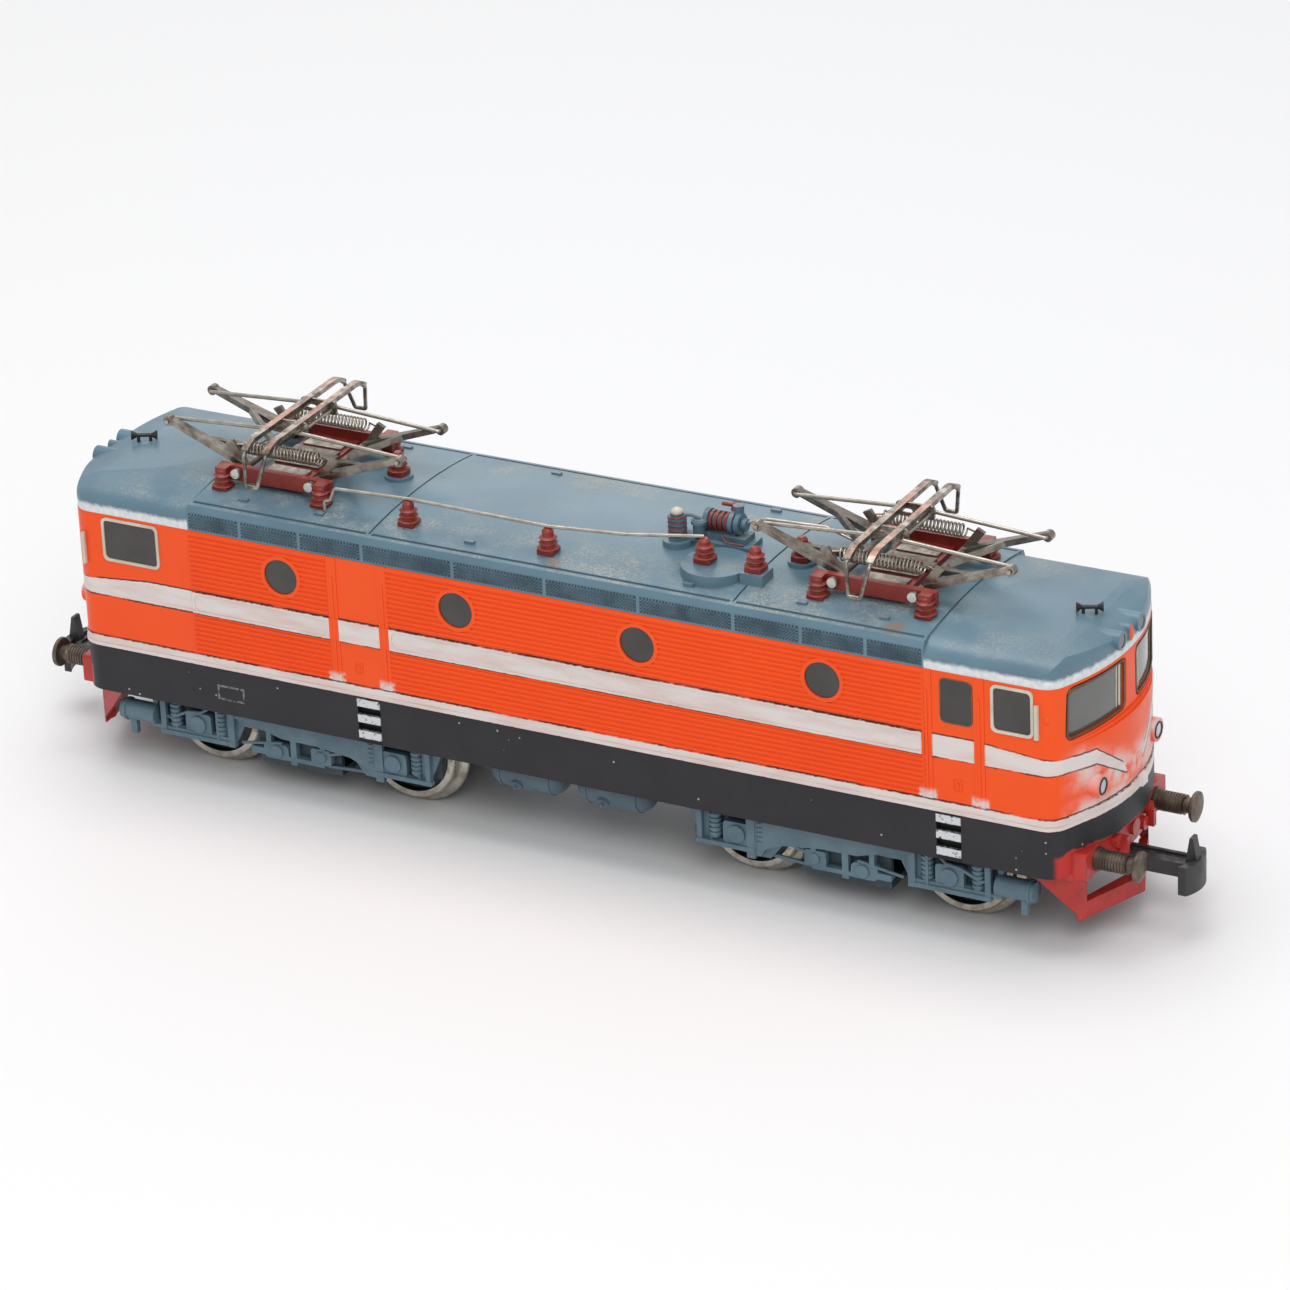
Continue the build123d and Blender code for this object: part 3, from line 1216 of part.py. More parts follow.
with BuildPart() as pivot_screw:
    with Locations((-BOGIE_X, 0, 10.0)):
        Cylinder(PIVOT_SHANK, DECK_Z[1] + 0.05 - 10.0, align=STANDING)
    with Locations((-BOGIE_X, 0, DECK_Z[1] + 0.05)):
        Cylinder(3.2, 1.2, align=STANDING)
    with Locations((-BOGIE_X, 0, DECK_Z[1] + 1.25)):
        Box(6.6, 0.7, 1.2, mode=Mode.SUBTRACT)

save(pivot_screw.part, "pivot_screw")

SHOE_BOTTOM_Z = 0.9
SHOE_THICKNESS = 0.45

with BuildPart() as pickup_shoe:
    # sprung contact strip with turned-up ends and two guide pins
    with BuildSketch(Plane.XZ.offset(-2.4)):
        with BuildLine():
            Polyline(
                (-14, SHOE_BOTTOM_Z + 1.7), (-9, SHOE_BOTTOM_Z),
                (9, SHOE_BOTTOM_Z), (14, SHOE_BOTTOM_Z + 1.7),
                (14, SHOE_BOTTOM_Z + 1.7 + SHOE_THICKNESS), (9, SHOE_BOTTOM_Z + SHOE_THICKNESS),
                (-9, SHOE_BOTTOM_Z + SHOE_THICKNESS), (-14, SHOE_BOTTOM_Z + 1.7 + SHOE_THICKNESS),
                close=True,
            )
        make_face()
    extrude(amount=4.8)
    for x in (-SHOE_PIN_X, SHOE_PIN_X):
        with Locations((x, 0, SHOE_BOTTOM_Z)):
            Cylinder(SHOE_PIN_RADIUS, 5.4, align=STANDING)

save(at_bogie(pickup_shoe.part, -BOGIE_X), "pickup_shoe")

with BuildPart() as shoe_springs:
    for x in (-SHOE_PIN_X, SHOE_PIN_X):
        with Locations((x, 0, SHOE_BOTTOM_Z + SHOE_THICKNESS)):
            height = FRAME_BOTTOM_Z - 1.0 - SHOE_BOTTOM_Z - SHOE_THICKNESS
            Cylinder(1.5, height, align=STANDING)
            Cylinder(1.0, height, align=STANDING, mode=Mode.SUBTRACT)

save(at_bogie(shoe_springs.part, -BOGIE_X), "shoe_springs")

# ---------------------------------------------------------------- pantographs, about their own middle
RAIL_Y = (8.4, 9.4)
RAIL_Z = (47.6, 49.9)
RAIL_END_X = 9.4
FOOT_POSITIONS = [(x, y) for x in (-8.3, 8.3) for y in (-10.3, 10.3)]
INSULATOR_HEIGHT = 3.5
SHAFT_R = 0.6
WIRE_R = 0.3
ARM_SPREAD = KNEE_HALF_GAP - AXLE_HALF_GAP
ARM_RISE = KNEE_Z - SHAFT_Z
ARM_LENGTH = math.hypot(ARM_SPREAD, ARM_RISE)
ARM_ANGLE = math.degrees(math.atan2(ARM_RISE, ARM_SPREAD))
STAY_REACH = 7.5
SPRING_Y = 6.8
SPRING_Z = 52.0
SPRING_HALF_LENGTH = 6.6
SPRING_RADIUS = 1.05


def insulator(height):
    """Ribbed post standing on the origin."""
    with BuildPart() as post:
        with BuildSketch(Plane.XZ):
            with BuildLine():
                Polyline(
                    (0, 0), (1.2, 0), (1.2, 0.6), (1.65, 0.85), (1.05, 1.15), (1.05, 1.45), (1.4, 1.65),
                    (1.0, 1.9), (1.0, 2.15), (1.35, 2.4), (0.85, 2.65), (0.85, height - 0.4),
                    (0.5, height), (0, height), (0, 0),
                )
            make_face()
        revolve(axis=Axis.Z)
        Box(2.5, 2.5, 0.75, align=STANDING)
    return post.part


def pantograph_base(centre_x):
    """Insulated frame: two rails, a plate between them and four feet cut to the camber of the roof."""
    with BuildPart() as base:
        for side in (-1, 1):
            with Locations((centre_x, side * sum(RAIL_Y) / 2, RAIL_Z[0])):
                Box(2 * RAIL_END_X, RAIL_Y[1] - RAIL_Y[0], RAIL_Z[1] - RAIL_Z[0], align=STANDING)
        with Locations((centre_x, 0, RAIL_Z[0])):
            Box(8.0, 2 * RAIL_Y[1], 0.8, align=STANDING)
        for x, y in FOOT_POSITIONS:
            add(insulator(INSULATOR_HEIGHT).moved(Location((centre_x + x, y, 46.3))))
            with Locations((centre_x + x, math.copysign(9.9, y), RAIL_Z[1])):
                Box(1.8, 2.0, 0.9, align=HANGING)
        add(roof_crown.part, mode=Mode.SUBTRACT)
        # bores of the two arm shafts
        for x in (-AXLE_HALF_GAP, AXLE_HALF_GAP):
            with Locations(Location((centre_x + x, 0, SHAFT_Z), (90, 0, 0))):
                Cylinder(SHAFT_R + RUNNING_GAP, 40, mode=Mode.SUBTRACT)
    return base.part


with BuildPart() as lower_arm_outer:
    # right-hand lower arm frame: shaft, two tapered channels, knees and spring cranks
    with Locations(Location((AXLE_HALF_GAP, 0, SHAFT_Z), (90, 0, 0))):
        Cylinder(SHAFT_R, 2 * RAIL_Y[1] + 0.6)
    for side in (-1, 1):
        with Locations(Location((AXLE_HALF_GAP, side * (RAIL_Y[1] + 0.35), SHAFT_Z), (90, 0, 0))):
            Cylinder(0.75, 0.6)
        # slanting crank that the spring pulls on
        with BuildSketch(Plane.XZ.offset(-side * SPRING_Y - 0.3)):
            with BuildLine():
                Polyline(
                    (AXLE_HALF_GAP - 0.6, SHAFT_Z), (AXLE_HALF_GAP + 0.8, SHAFT_Z),
                    (9.5, 52.2), (8.3, 52.8),
                    close=True,
                )
            make_face()
        extrude(amount=0.6)
    arm_plane = Plane(
        origin=(AXLE_HALF_GAP, 0, SHAFT_Z),
        x_dir=(ARM_SPREAD, 0, ARM_RISE),
        z_dir=(-ARM_RISE, 0, ARM_SPREAD),
    )
    with BuildSketch(arm_plane.offset(-0.3)):
        for side in (-1, 1):
            with BuildLine():
                Polyline(
                    (0, side * 5.3), (ARM_LENGTH, side * (KNEE_Y - 0.5)),
                    (ARM_LENGTH, side * (KNEE_Y + 0.5)), (0, side * 7.6), close=True,
                )
            make_face()
            # stay from the middle of the shaft
            with BuildLine():
                Polyline(
                    (0, side * 0.4), (0, side * 1.6), (STAY_REACH, side * 6.4), (STAY_REACH, side * 5.6),
                    close=True,
                )
            make_face()
    extrude(amount=0.9)
    with BuildSketch(arm_plane.offset(-0.4)):
        for side in (-1, 1):
            with BuildLine():
                Polyline(
                    (0.9, side * 5.7), (ARM_LENGTH - 1.4, side * (KNEE_Y - 0.25)),
                    (ARM_LENGTH - 1.4, side * (KNEE_Y + 0.2)), (0.9, side * 7.2), close=True,
                )
            make_face()
    extrude(amount=0.75, mode=Mode.SUBTRACT)
    # knee eyes
    for side in (-1, 1):
        with Locations(Location((KNEE_HALF_GAP, side * KNEE_Y, KNEE_Z), (90, 0, 0))):
            Cylinder(0.75, 1.2)
            Cylinder(WIRE_R + RUNNING_GAP, 3, mode=Mode.SUBTRACT)

with BuildPart() as upper_arm_outer:
    # right-hand upper arm: one bent wire through both knees, its middle being the head pivot
    inner_y = KNEE_Y - 1.0
    with BuildLine() as wire_path:
        FilletPolyline(
            (KNEE_HALF_GAP, -KNEE_Y - 0.95, KNEE_Z), (KNEE_HALF_GAP, -inner_y, KNEE_Z),
            (HEAD_HALF_GAP, -inner_y, HEAD_PIVOT_Z), (HEAD_HALF_GAP, inner_y, HEAD_PIVOT_Z),
            (KNEE_HALF_GAP, inner_y, KNEE_Z), (KNEE_HALF_GAP, KNEE_Y + 0.95, KNEE_Z),
            radius=0.35,
        )
    with BuildSketch(Plane(origin=wire_path.line @ 0, z_dir=wire_path.line % 0)):
        Circle(WIRE_R)
    sweep()

BAR_Z = (55.6, 56.3)
BAR_HALF_GAP = 1.75
BAR_END_Y = 10.6            # the bars are straight up to here
BRACKET_Y = 4.2
SLOT_REACH = 1.45           # the open pivot lets the second wire move this far towards the middle

with BuildPart() as pantograph_head:
    # two bowed contact bars, end horns and the two brackets that hang on the upper arms
    for direction in (-1, 1):
        with BuildSketch(Plane.YZ.offset(direction * BAR_HALF_GAP - 0.55)):
            with BuildLine():
                bottom, top = BAR_Z
                upper_tip = (HEAD_HALF_WIDTH, top - 1.1)
                lower_tip = (HEAD_HALF_WIDTH - 0.3, bottom - 1.0)
                Line((0, top), (BAR_END_Y, top))
                ThreePointArc((BAR_END_Y, top), (BAR_END_Y + 2.2, top - 0.3), upper_tip)
                Line(upper_tip, lower_tip)
                ThreePointArc(lower_tip, (BAR_END_Y + 2, bottom - 0.25), (BAR_END_Y, bottom))
                Polyline((BAR_END_Y, bottom), (0, bottom), (0, top))
            make_face()
            mirror(about=Plane.YZ)
        extrude(amount=1.1)
    for side in (-1, 1):
        with BuildSketch(Plane.XZ.offset(-side * BRACKET_Y - 0.2)):
            with Locations((0, (HEAD_PIVOT_Z + BAR_Z[0]) / 2 - 0.1)):
                RectangleRounded(2 * HEAD_HALF_GAP + 1.6, BAR_Z[0] - HEAD_PIVOT_Z + 1.4, 0.5)
            with Locations((HEAD_HALF_GAP, HEAD_PIVOT_Z)):
                Circle(WIRE_R + RUNNING_GAP, mode=Mode.SUBTRACT)
            with Locations((SLOT_REACH / 2 - HEAD_HALF_GAP, HEAD_PIVOT_Z)):
                SlotCenterToCenter(SLOT_REACH, 2 * (WIRE_R + RUNNING_GAP), mode=Mode.SUBTRACT)
        extrude(amount=0.4)

with BuildPart() as horn_loop:
    # wire loop at the near end of the bars
    with BuildLine() as loop_path:
        FilletPolyline(
            (-BAR_HALF_GAP, 0.5 - HEAD_HALF_WIDTH, BAR_Z[0] - 0.6),
            (-BAR_HALF_GAP, -HEAD_HALF_WIDTH - 0.2, BAR_Z[0] - 1.2),
            (-0.9, -15.6, 50.2),
            (0.9, -15.6, 50.2),
            (BAR_HALF_GAP, -HEAD_HALF_WIDTH - 0.2, BAR_Z[0] - 1.2),
            (BAR_HALF_GAP, 0.5 - HEAD_HALF_WIDTH, BAR_Z[0] - 0.6),
            radius=0.35,
        )
    with BuildSketch(Plane(origin=loop_path.line @ 0, z_dir=loop_path.line % 0)):
        Circle(WIRE_R)
    sweep()

with BuildPart() as head_with_horns:
    add(pantograph_head.part)
    add(horn_loop.part)
    add(half_turned(horn_loop.part))

with BuildPart() as spring_pair:
    for side in (-1, 1):
        with Locations(Location((0, side * SPRING_Y, SPRING_Z), (0, 90, 0))):
            Cylinder(SPRING_RADIUS, 2 * SPRING_HALF_LENGTH)
            Cylinder(SPRING_RADIUS - 0.45, 2 * SPRING_HALF_LENGTH, mode=Mode.SUBTRACT)

for place, centre_x in (("front", PANTOGRAPH_X), ("rear", -PANTOGRAPH_X)):
    save(pantograph_base(centre_x), f"pantograph_base_{place}")
    here = Location((centre_x, 0, 0))
    save(lower_arm_outer.part.moved(here), f"lower_arm_right_{place}")
    save(half_turned(lower_arm_outer.part).moved(here), f"lower_arm_left_{place}")
    save(upper_arm_outer.part.moved(here), f"upper_arm_right_{place}")
    save(half_turned(upper_arm_outer.part).moved(here), f"upper_arm_left_{place}")
    save(head_with_horns.part.moved(here), f"pantograph_head_{place}")
    save(spring_pair.part.moved(here), f"pantograph_springs_{place}")


# ---------------------------------------------------------------- roof equipment
POST_HEIGHT = 3.6
LINE_R = 0.25
CAMBER_Z = 46.4
POSTS = (
    (-25.1, -11.0, CAMBER_Z), (-1.9, -11.6, CAMBER_Z),
    (21.7, -8.7, PLINTH_TOP_Z), (*BOX_FOOT, BOX_FOOT_TOP_Z),
    (33.8, -2.3, FOOT_TOP_Z), (-34.0, 1.6, FOOT_TOP_Z),
)

with BuildPart() as roof_insulators:
    for x, y, z in POSTS:
        height = POST_HEIGHT + (0.25 if z == CAMBER_Z else 0)
        add(insulator(height).moved(Location((x, y, z))))
    add(roof_crown.part, mode=Mode.SUBTRACT)

save(roof_insulators.part, "roof_insulators")


def wire_run(points, radius, bend):
    """Round wire through the points, with every corner bent to one radius."""
    with BuildPart() as wire:
        with BuildLine() as path:
            FilletPolyline(*points, radius=bend)
        with BuildSketch(Plane(origin=path.line @ 0, z_dir=path.line % 0)):
            Circle(radius)
        sweep()
    return wire.part


LONG_LINE = (
    (-38.6, -12.0, 46.6), (-38.6, -12.0, 48.2), (-37.6, -11.9, 48.5),
    (-36.9, -11.8, 50.4), (-25.1, -11.0, 50.5),
    (-14.0, -11.5, 50.6), (-1.9, -11.6, 50.5), (10.0, -10.6, 50.9), (21.7, -8.7, 51.85),
)
SHORT_LINE = ((23.5, -0.4, 50.7), (27.0, 0.4, 51.6), (35.5, 2.4, 51.0), (39.6, 3.2, 49.15))

save(wire_run(LONG_LINE, LINE_R, 0.45), "roof_line_long")
save(wire_run(SHORT_LINE, LINE_R, 1.0), "roof_line_short")

CHAMBER_Z = PLINTH_TOP_Z + 2.5

with BuildPart() as circuit_breaker:
    # base, ribbed blast chamber and the post beside it
    with Locations((20.6, -0.4, PLINTH_TOP_Z)):
        Box(8.0, 3.0, 0.9, align=STANDING)
    with Locations((15.6, -2.2, PLINTH_TOP_Z)):
        Box(3.4, 2.2, 0.5, align=STANDING)
    with BuildSketch(Plane.YZ.offset(17.8)):
        with Locations((-0.4, CHAMBER_Z)):
            Circle(1.1)
    extrude(amount=5.6)
    for x in (17.8, 21.7, 22.7):
        with BuildSketch(Plane.YZ.offset(x)):
            with Locations((-0.4, CHAMBER_Z)):
                Circle(1.6)
        extrude(amount=0.7)
    # small bell on top
    with Locations((22.6, 0.2, CHAMBER_Z + 1.0)):
        Cylinder(0.8, 1.6, align=STANDING)
    for ring in range(5):
        with Locations((14.5, -3.2, PLINTH_TOP_Z + 0.75 * ring)):
            Cylinder(1.35, 0.45, align=STANDING)
    with Locations((14.5, -3.2, PLINTH_TOP_Z)):
        Cylinder(0.95, 4.0, align=STANDING)

save(circuit_breaker.part, "circuit_breaker")

with BuildPart() as breaker_windings:
    for x in (18.7, 19.5, 20.3, 21.1):
        with BuildSketch(Plane.YZ.offset(x)):
            with Locations((-0.4, CHAMBER_Z)):
                Circle(1.45)
                Circle(1.1, mode=Mode.SUBTRACT)
        extrude(amount=0.45)

save(breaker_windings.part, "breaker_windings")

HORN_Z = 46.9

with BuildPart() as horn_pair:
    # two bells back to back on one bracket, near the front end
    with BuildSketch(Plane.XY):
        with BuildLine():
            Polyline((-1.9, 0), (-1.9, 0.75), (-1.1, 0.3), (1.1, 0.3), (1.9, 0.75), (1.9, 0), close=True)
        make_face()
    revolve(axis=Axis.X)
    with Locations((-0.9, 0, 0), (0.9, 0, 0)):
        Box(0.45, 0.5, 2.0, align=HANGING)

with BuildPart() as horns:
    for turn in (0, 180):
        placed = horn_pair.part.rotate(Axis.Z, 25).moved(Location((77.0, -0.2, HORN_Z + 0.4)))
        add(placed.rotate(Axis.Z, turn))
    add(roof_cover.part, mode=Mode.SUBTRACT)

save(horns.part, "horns")
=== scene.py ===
"""Looks of the model electric locomotive: painted materials, small extra parts, studio light and camera.

Metres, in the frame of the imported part. Shapes and paint layouts below are written in millimetres.
The locomotive is symmetric under a half turn about Z, so near-side details are copied to the far side.
"""
import math

import bmesh
import bpy
from mathutils import Matrix, Vector


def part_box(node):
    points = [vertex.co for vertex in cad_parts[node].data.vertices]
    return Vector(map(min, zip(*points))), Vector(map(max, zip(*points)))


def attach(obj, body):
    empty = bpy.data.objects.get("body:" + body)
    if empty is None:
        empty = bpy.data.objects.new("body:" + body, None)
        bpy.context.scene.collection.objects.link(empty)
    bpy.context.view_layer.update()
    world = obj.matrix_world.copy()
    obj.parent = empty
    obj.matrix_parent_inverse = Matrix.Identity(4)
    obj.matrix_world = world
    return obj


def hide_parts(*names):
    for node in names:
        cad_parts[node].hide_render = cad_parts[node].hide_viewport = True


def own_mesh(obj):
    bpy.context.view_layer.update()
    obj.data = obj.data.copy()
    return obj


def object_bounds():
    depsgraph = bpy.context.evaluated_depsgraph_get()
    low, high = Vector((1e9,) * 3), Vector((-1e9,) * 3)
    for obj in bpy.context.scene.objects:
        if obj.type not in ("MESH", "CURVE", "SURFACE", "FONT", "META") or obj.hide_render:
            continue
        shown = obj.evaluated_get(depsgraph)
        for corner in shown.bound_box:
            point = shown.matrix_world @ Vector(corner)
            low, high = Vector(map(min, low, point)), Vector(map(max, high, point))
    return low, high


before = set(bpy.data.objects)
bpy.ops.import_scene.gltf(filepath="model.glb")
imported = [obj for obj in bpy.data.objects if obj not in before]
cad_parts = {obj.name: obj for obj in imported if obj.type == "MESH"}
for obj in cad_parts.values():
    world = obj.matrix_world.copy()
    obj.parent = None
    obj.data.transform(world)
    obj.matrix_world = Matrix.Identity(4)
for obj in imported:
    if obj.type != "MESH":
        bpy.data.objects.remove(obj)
cad_low, cad_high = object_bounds()

MM = 0.001
BODY = "locomotive_body"
PANTOGRAPHS = ("front", "rear")
HALF_TURN = Matrix.Rotation(math.pi, 4, "Z")
NO_TURN = Matrix.Identity(4)


def box_mm(node):
    """Lowest and highest corner of a CAD node, in millimetres."""
    low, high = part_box(node)
    return low / MM, high / MM


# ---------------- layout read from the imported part
RIB_HEIGHT = 0.25           # how far the ribs stand out of the flat side wall
BROW_OVERHANG = 0.3         # how far the roof reaches past the end wall
HALF_WIDTH = box_mm("body_shell")[1].y - RIB_HEIGHT
HALF_LENGTH = box_mm("roof_cover")[1].x - BROW_OVERHANG

# paint layout of the body
SILL_Z = 20.4
SILL_TOP_Z = 22.0
BELT_LOW_Z = 28.8
BELT_HIGH_Z = 32.2
BELT_TAPER_X = (67.0, 80.0)                 # where the belt narrows towards the corner
BELT_CORNER_Z = (28.9, 31.0)
CHEVRON_Y = (2.9, 9.6)                      # tip and shoulder of the chevron on the nose
CHEVRON_LOW_Z = (24.4, 28.5)
CHEVRON_HIGH_Z = (25.6, 30.6)
CHEVRON_END_Y = 15.5
CHEVRON_END_RISE = 0.4
CHEVRON_TIP_Z = 25.0
CHEVRON_TIP_SLANT = 0.55
OUTLINE_WIDTH = 0.24
OUTLINE_LAP = 0.02
SILL_GROOVE_Z = (20.95, 21.15)
BELT_LINE = (0.42, 0.56)                    # thin line in the belt, above its lower edge
PANEL_END_X = 59.4
BLANK_DOOR_X = (-36.1, -26.1)
CAB_DOOR_X = (58.9, 68.5)
POST_WIDTH = 1.6
STEP_X = ((-32.3, -28.5), (60.8, 64.6))
STEP_MIDDLE_Z = (14.25, 16.8, 19.35)
STEP_HALF_HEIGHT = 0.62
POST_FEET_X = (-35.3, -26.9, 59.7, 67.7)
POST_FOOT_HALF_WIDTH = 1.3
PLATE_X = (-56.3, -51.7)
PLATE_Z = (15.2, 17.6)
PLATE_RIM = 0.3
POST_FOOT_Z = (22.9, 24.0)
NOSE_X = 80.0
BELT_TURN_X = (79.0, 80.6)                  # where the belt turns from the side onto the nose
HAZE_X = (78.8, 81.5)                       # overspray of the nose
HAZE_Y = (2, 12)
HAZE_Z = (24.4, 28.6)
HAZE_FOOT_Z = (21.8, 25.2)
HAZE_TOP_Z = 33.0
BEAM_PAINT_X = 78.6
BEAM_PAINT_TOP_Z = 17.6
ROOF_BAND_Z = 43.3
CORNER_X = 78.6
CORNER_RADIUS = 3.2
LAMP_Y = 9.5
LAMP_Z = 25.1
NOSE_BOW = HALF_LENGTH - CORNER_X
NOSE_RADIUS = (HALF_WIDTH ** 2 + NOSE_BOW ** 2) / (2 * NOSE_BOW)


def nose_x(y):
    """Where the bowed end wall lies at a distance y from the middle, round corners included."""
    centre_y = HALF_WIDTH - CORNER_RADIUS
    centre_x = HALF_LENGTH - NOSE_RADIUS + math.sqrt((NOSE_RADIUS - CORNER_RADIUS) ** 2 - centre_y ** 2)
    corner_y = centre_y * NOSE_RADIUS / (NOSE_RADIUS - CORNER_RADIUS)
    if abs(y) > corner_y:
        return centre_x + math.sqrt(CORNER_RADIUS ** 2 - (abs(y) - centre_y) ** 2)
    return HALF_LENGTH - NOSE_RADIUS + math.sqrt(NOSE_RADIUS ** 2 - y ** 2)


# ---------------- material graphs
RAMP_INPUTS = ("Value", "From Min", "From Max", "To Min", "To Max")


class Graph:
    """Node tree of one material. Positions and sizes in it are millimetres on the object."""

    def __init__(self, name):
        self.material = bpy.data.materials.new(name)
        self.material.use_nodes = True
        self.tree = self.material.node_tree
        self.shader = self.tree.nodes["Principled BSDF"]
        coordinates = self.node("ShaderNodeTexCoord")
        self.position = self.node("ShaderNodeVectorMath", operation="SCALE")
        self.tree.links.new(coordinates.outputs["Object"], self.position.inputs[0])
        self.position.inputs["Scale"].default_value = 1 / MM
        self.position = self.position.outputs[0]
        split = self.node("ShaderNodeSeparateXYZ")
        self.tree.links.new(self.position, split.inputs[0])
        self.x, self.y, self.z = split.outputs

    def node(self, kind, **settings):
        made = self.tree.nodes.new(kind)
        for key, value in settings.items():
            setattr(made, key, value)
        return made

    def feed(self, value, socket):
        """Connects another node's output, or sets a fixed value."""
        if isinstance(value, bpy.types.NodeSocket):
            self.tree.links.new(value, socket)
        elif isinstance(value, tuple) and len(value) == 3 and socket.type == "RGBA":
            socket.default_value = (*value, 1)
        else:
            socket.default_value = value

    def maths(self, operation, *values):
        made = self.node("ShaderNodeMath", operation=operation)
        for value, socket in zip(values, made.inputs):
            self.feed(value, socket)
        return made.outputs[0]

    @property
    def reach_x(self):
        """Distance from the middle towards either end."""
        return self.maths("ABSOLUTE", self.x)

    @property
    def reach_y(self):
        """Distance from the middle towards either side."""
        return self.maths("ABSOLUTE", self.y)

    def ramp(self, interpolation, *values):
        made = self.node("ShaderNodeMapRange", interpolation_type=interpolation)
        for value, name in zip(values, RAMP_INPUTS):
            self.feed(value, made.inputs[name])
        return made.outputs[0]

    def rise(self, value, low, high, start=0.0, end=1.0):
        """start below low, end above high, smooth in between."""
        return self.ramp("SMOOTHSTEP", value, low, high, start, end)

    def line(self, value, low, high, start, end):
        """Straight ramp from start to end, clamped outside low and high."""
        return self.ramp("LINEAR", value, low, high, start, end)

    def above(self, value, edge, soft=0.06):
        """Mask that is 1 where the value lies above the edge."""
        return self.rise(self.maths("SUBTRACT", value, edge), -soft, soft)

    def inside(self, value, low, high, soft=0.06):
        """Mask that is 1 where the value lies between two edges."""
        return self.both(self.above(value, low, soft), self.without(self.above(value, high, soft)))

    def distance(self, *offsets):
        """Distance that belongs to two offsets at right angles."""
        squares = [self.maths("MULTIPLY", offset, offset) for offset in offsets]
        return self.maths("SQRT", self.maths("ADD", *squares))

    def both(self, *masks):
        """Mask that is 1 where all the masks are."""
        result = masks[0]
        for mask in masks[1:]:
            result = self.maths("MULTIPLY", result, mask)
        return result

    def either(self, *masks):
        """Mask that is 1 where any of the masks is."""
        result = masks[0]
        for mask in masks[1:]:
            result = self.maths("MAXIMUM", result, mask)
        return result

    def without(self, mask):
        """The inverse of a mask."""
        return self.maths("SUBTRACT", 1, mask)

    def noise(self, size, detail=3.0, roughness=0.55, stretch=(1, 1, 1), shift=0.0):
        """Noise with lumps of about the given size; stretch makes them longer along an axis."""
        mapped = self.node("ShaderNodeMapping")
        self.feed(self.position, mapped.inputs["Vector"])
        mapped.inputs["Scale"].default_value = [1 / (size * along) for along in stretch]
        mapped.inputs["Location"].default_value = (shift, shift, shift)
        made = self.node("ShaderNodeTexNoise")
        self.feed(mapped.outputs[0], made.inputs["Vector"])
        made.inputs["Scale"].default_value = 1.0
        made.inputs["Detail"].default_value = detail
        made.inputs["Roughness"].default_value = roughness
        return made.outputs["Fac"]

    def specks(self, size, share):
        """Mask of small scattered dots."""
        made = self.node("ShaderNodeTexVoronoi")
        self.feed(self.position, made.inputs["Vector"])
        made.inputs["Scale"].default_value = 1 / size
        chosen = self.node("ShaderNodeSeparateColor")
        self.feed(made.outputs["Color"], chosen.inputs[0])
        near = self.rise(made.outputs["Distance"], 0.12, 0.22, 1, 0)
        return self.both(near, self.maths("LESS_THAN", chosen.outputs[0], share))

    def mix(self, factor, first, second):
        """Colour mix: first where factor is 0, second where it is 1."""
        made = self.node("ShaderNodeMix", data_type="RGBA")
        self.feed(factor, made.inputs["Factor"])
        self.feed(first, made.inputs["A"])
        self.feed(second, made.inputs["B"])
        return made.outputs["Result"]

    def blend(self, factor, first, second):
        """Number mix."""
        made = self.node("ShaderNodeMix", data_type="FLOAT")
        self.feed(factor, made.inputs["Factor"])
        self.feed(first, made.inputs["A"])
        self.feed(second, made.inputs["B"])
        return made.outputs["Result"]

    def facing_up(self, low=0.55, high=0.95):
        normal = self.node("ShaderNodeNewGeometry")
        split = self.node("ShaderNodeSeparateXYZ")
        self.feed(normal.outputs["Normal"], split.inputs[0])
        return self.rise(split.outputs[2], low, high)

    def wear_and_shade_edges(self, radius=0.12, low=0.02, high=0.10):
        """Mask of the edges, from the difference between true and rounded normal."""
        rounded = self.node("ShaderNodeBevel", samples=4)
        rounded.inputs["Radius"].default_value = radius * MM
        true = self.node("ShaderNodeNewGeometry")
        product = self.node("ShaderNodeVectorMath", operation="DOT_PRODUCT")
        self.feed(rounded.outputs[0], product.inputs[0])
        self.feed(true.outputs["Normal"], product.inputs[1])
        return self.rise(self.maths("SUBTRACT", 1, product.outputs["Value"]), low, high)

    def relief(self, height, depth, edge_radius=0.08):
        """Fine relief of the given depth on top of slightly rounded edges."""
        made = self.node("ShaderNodeBump")
        made.inputs["Distance"].default_value = depth * MM
        self.feed(height, made.inputs["Height"])
        if edge_radius:
            rounded = self.node("ShaderNodeBevel", samples=4)
            rounded.inputs["Radius"].default_value = edge_radius * MM
            self.feed(rounded.outputs[0], made.inputs["Normal"])
        self.feed(made.outputs[0], self.shader.inputs["Normal"])

    def surface(self, colour, roughness, metallic=0.0, **others):
        self.feed(colour, self.shader.inputs["Base Color"])
        self.feed(roughness, self.shader.inputs["Roughness"])
        self.feed(metallic, self.shader.inputs["Metallic"])
        for name, value in others.items():
            self.feed(value, self.shader.inputs[name.replace("_", " ")])
        return self.material


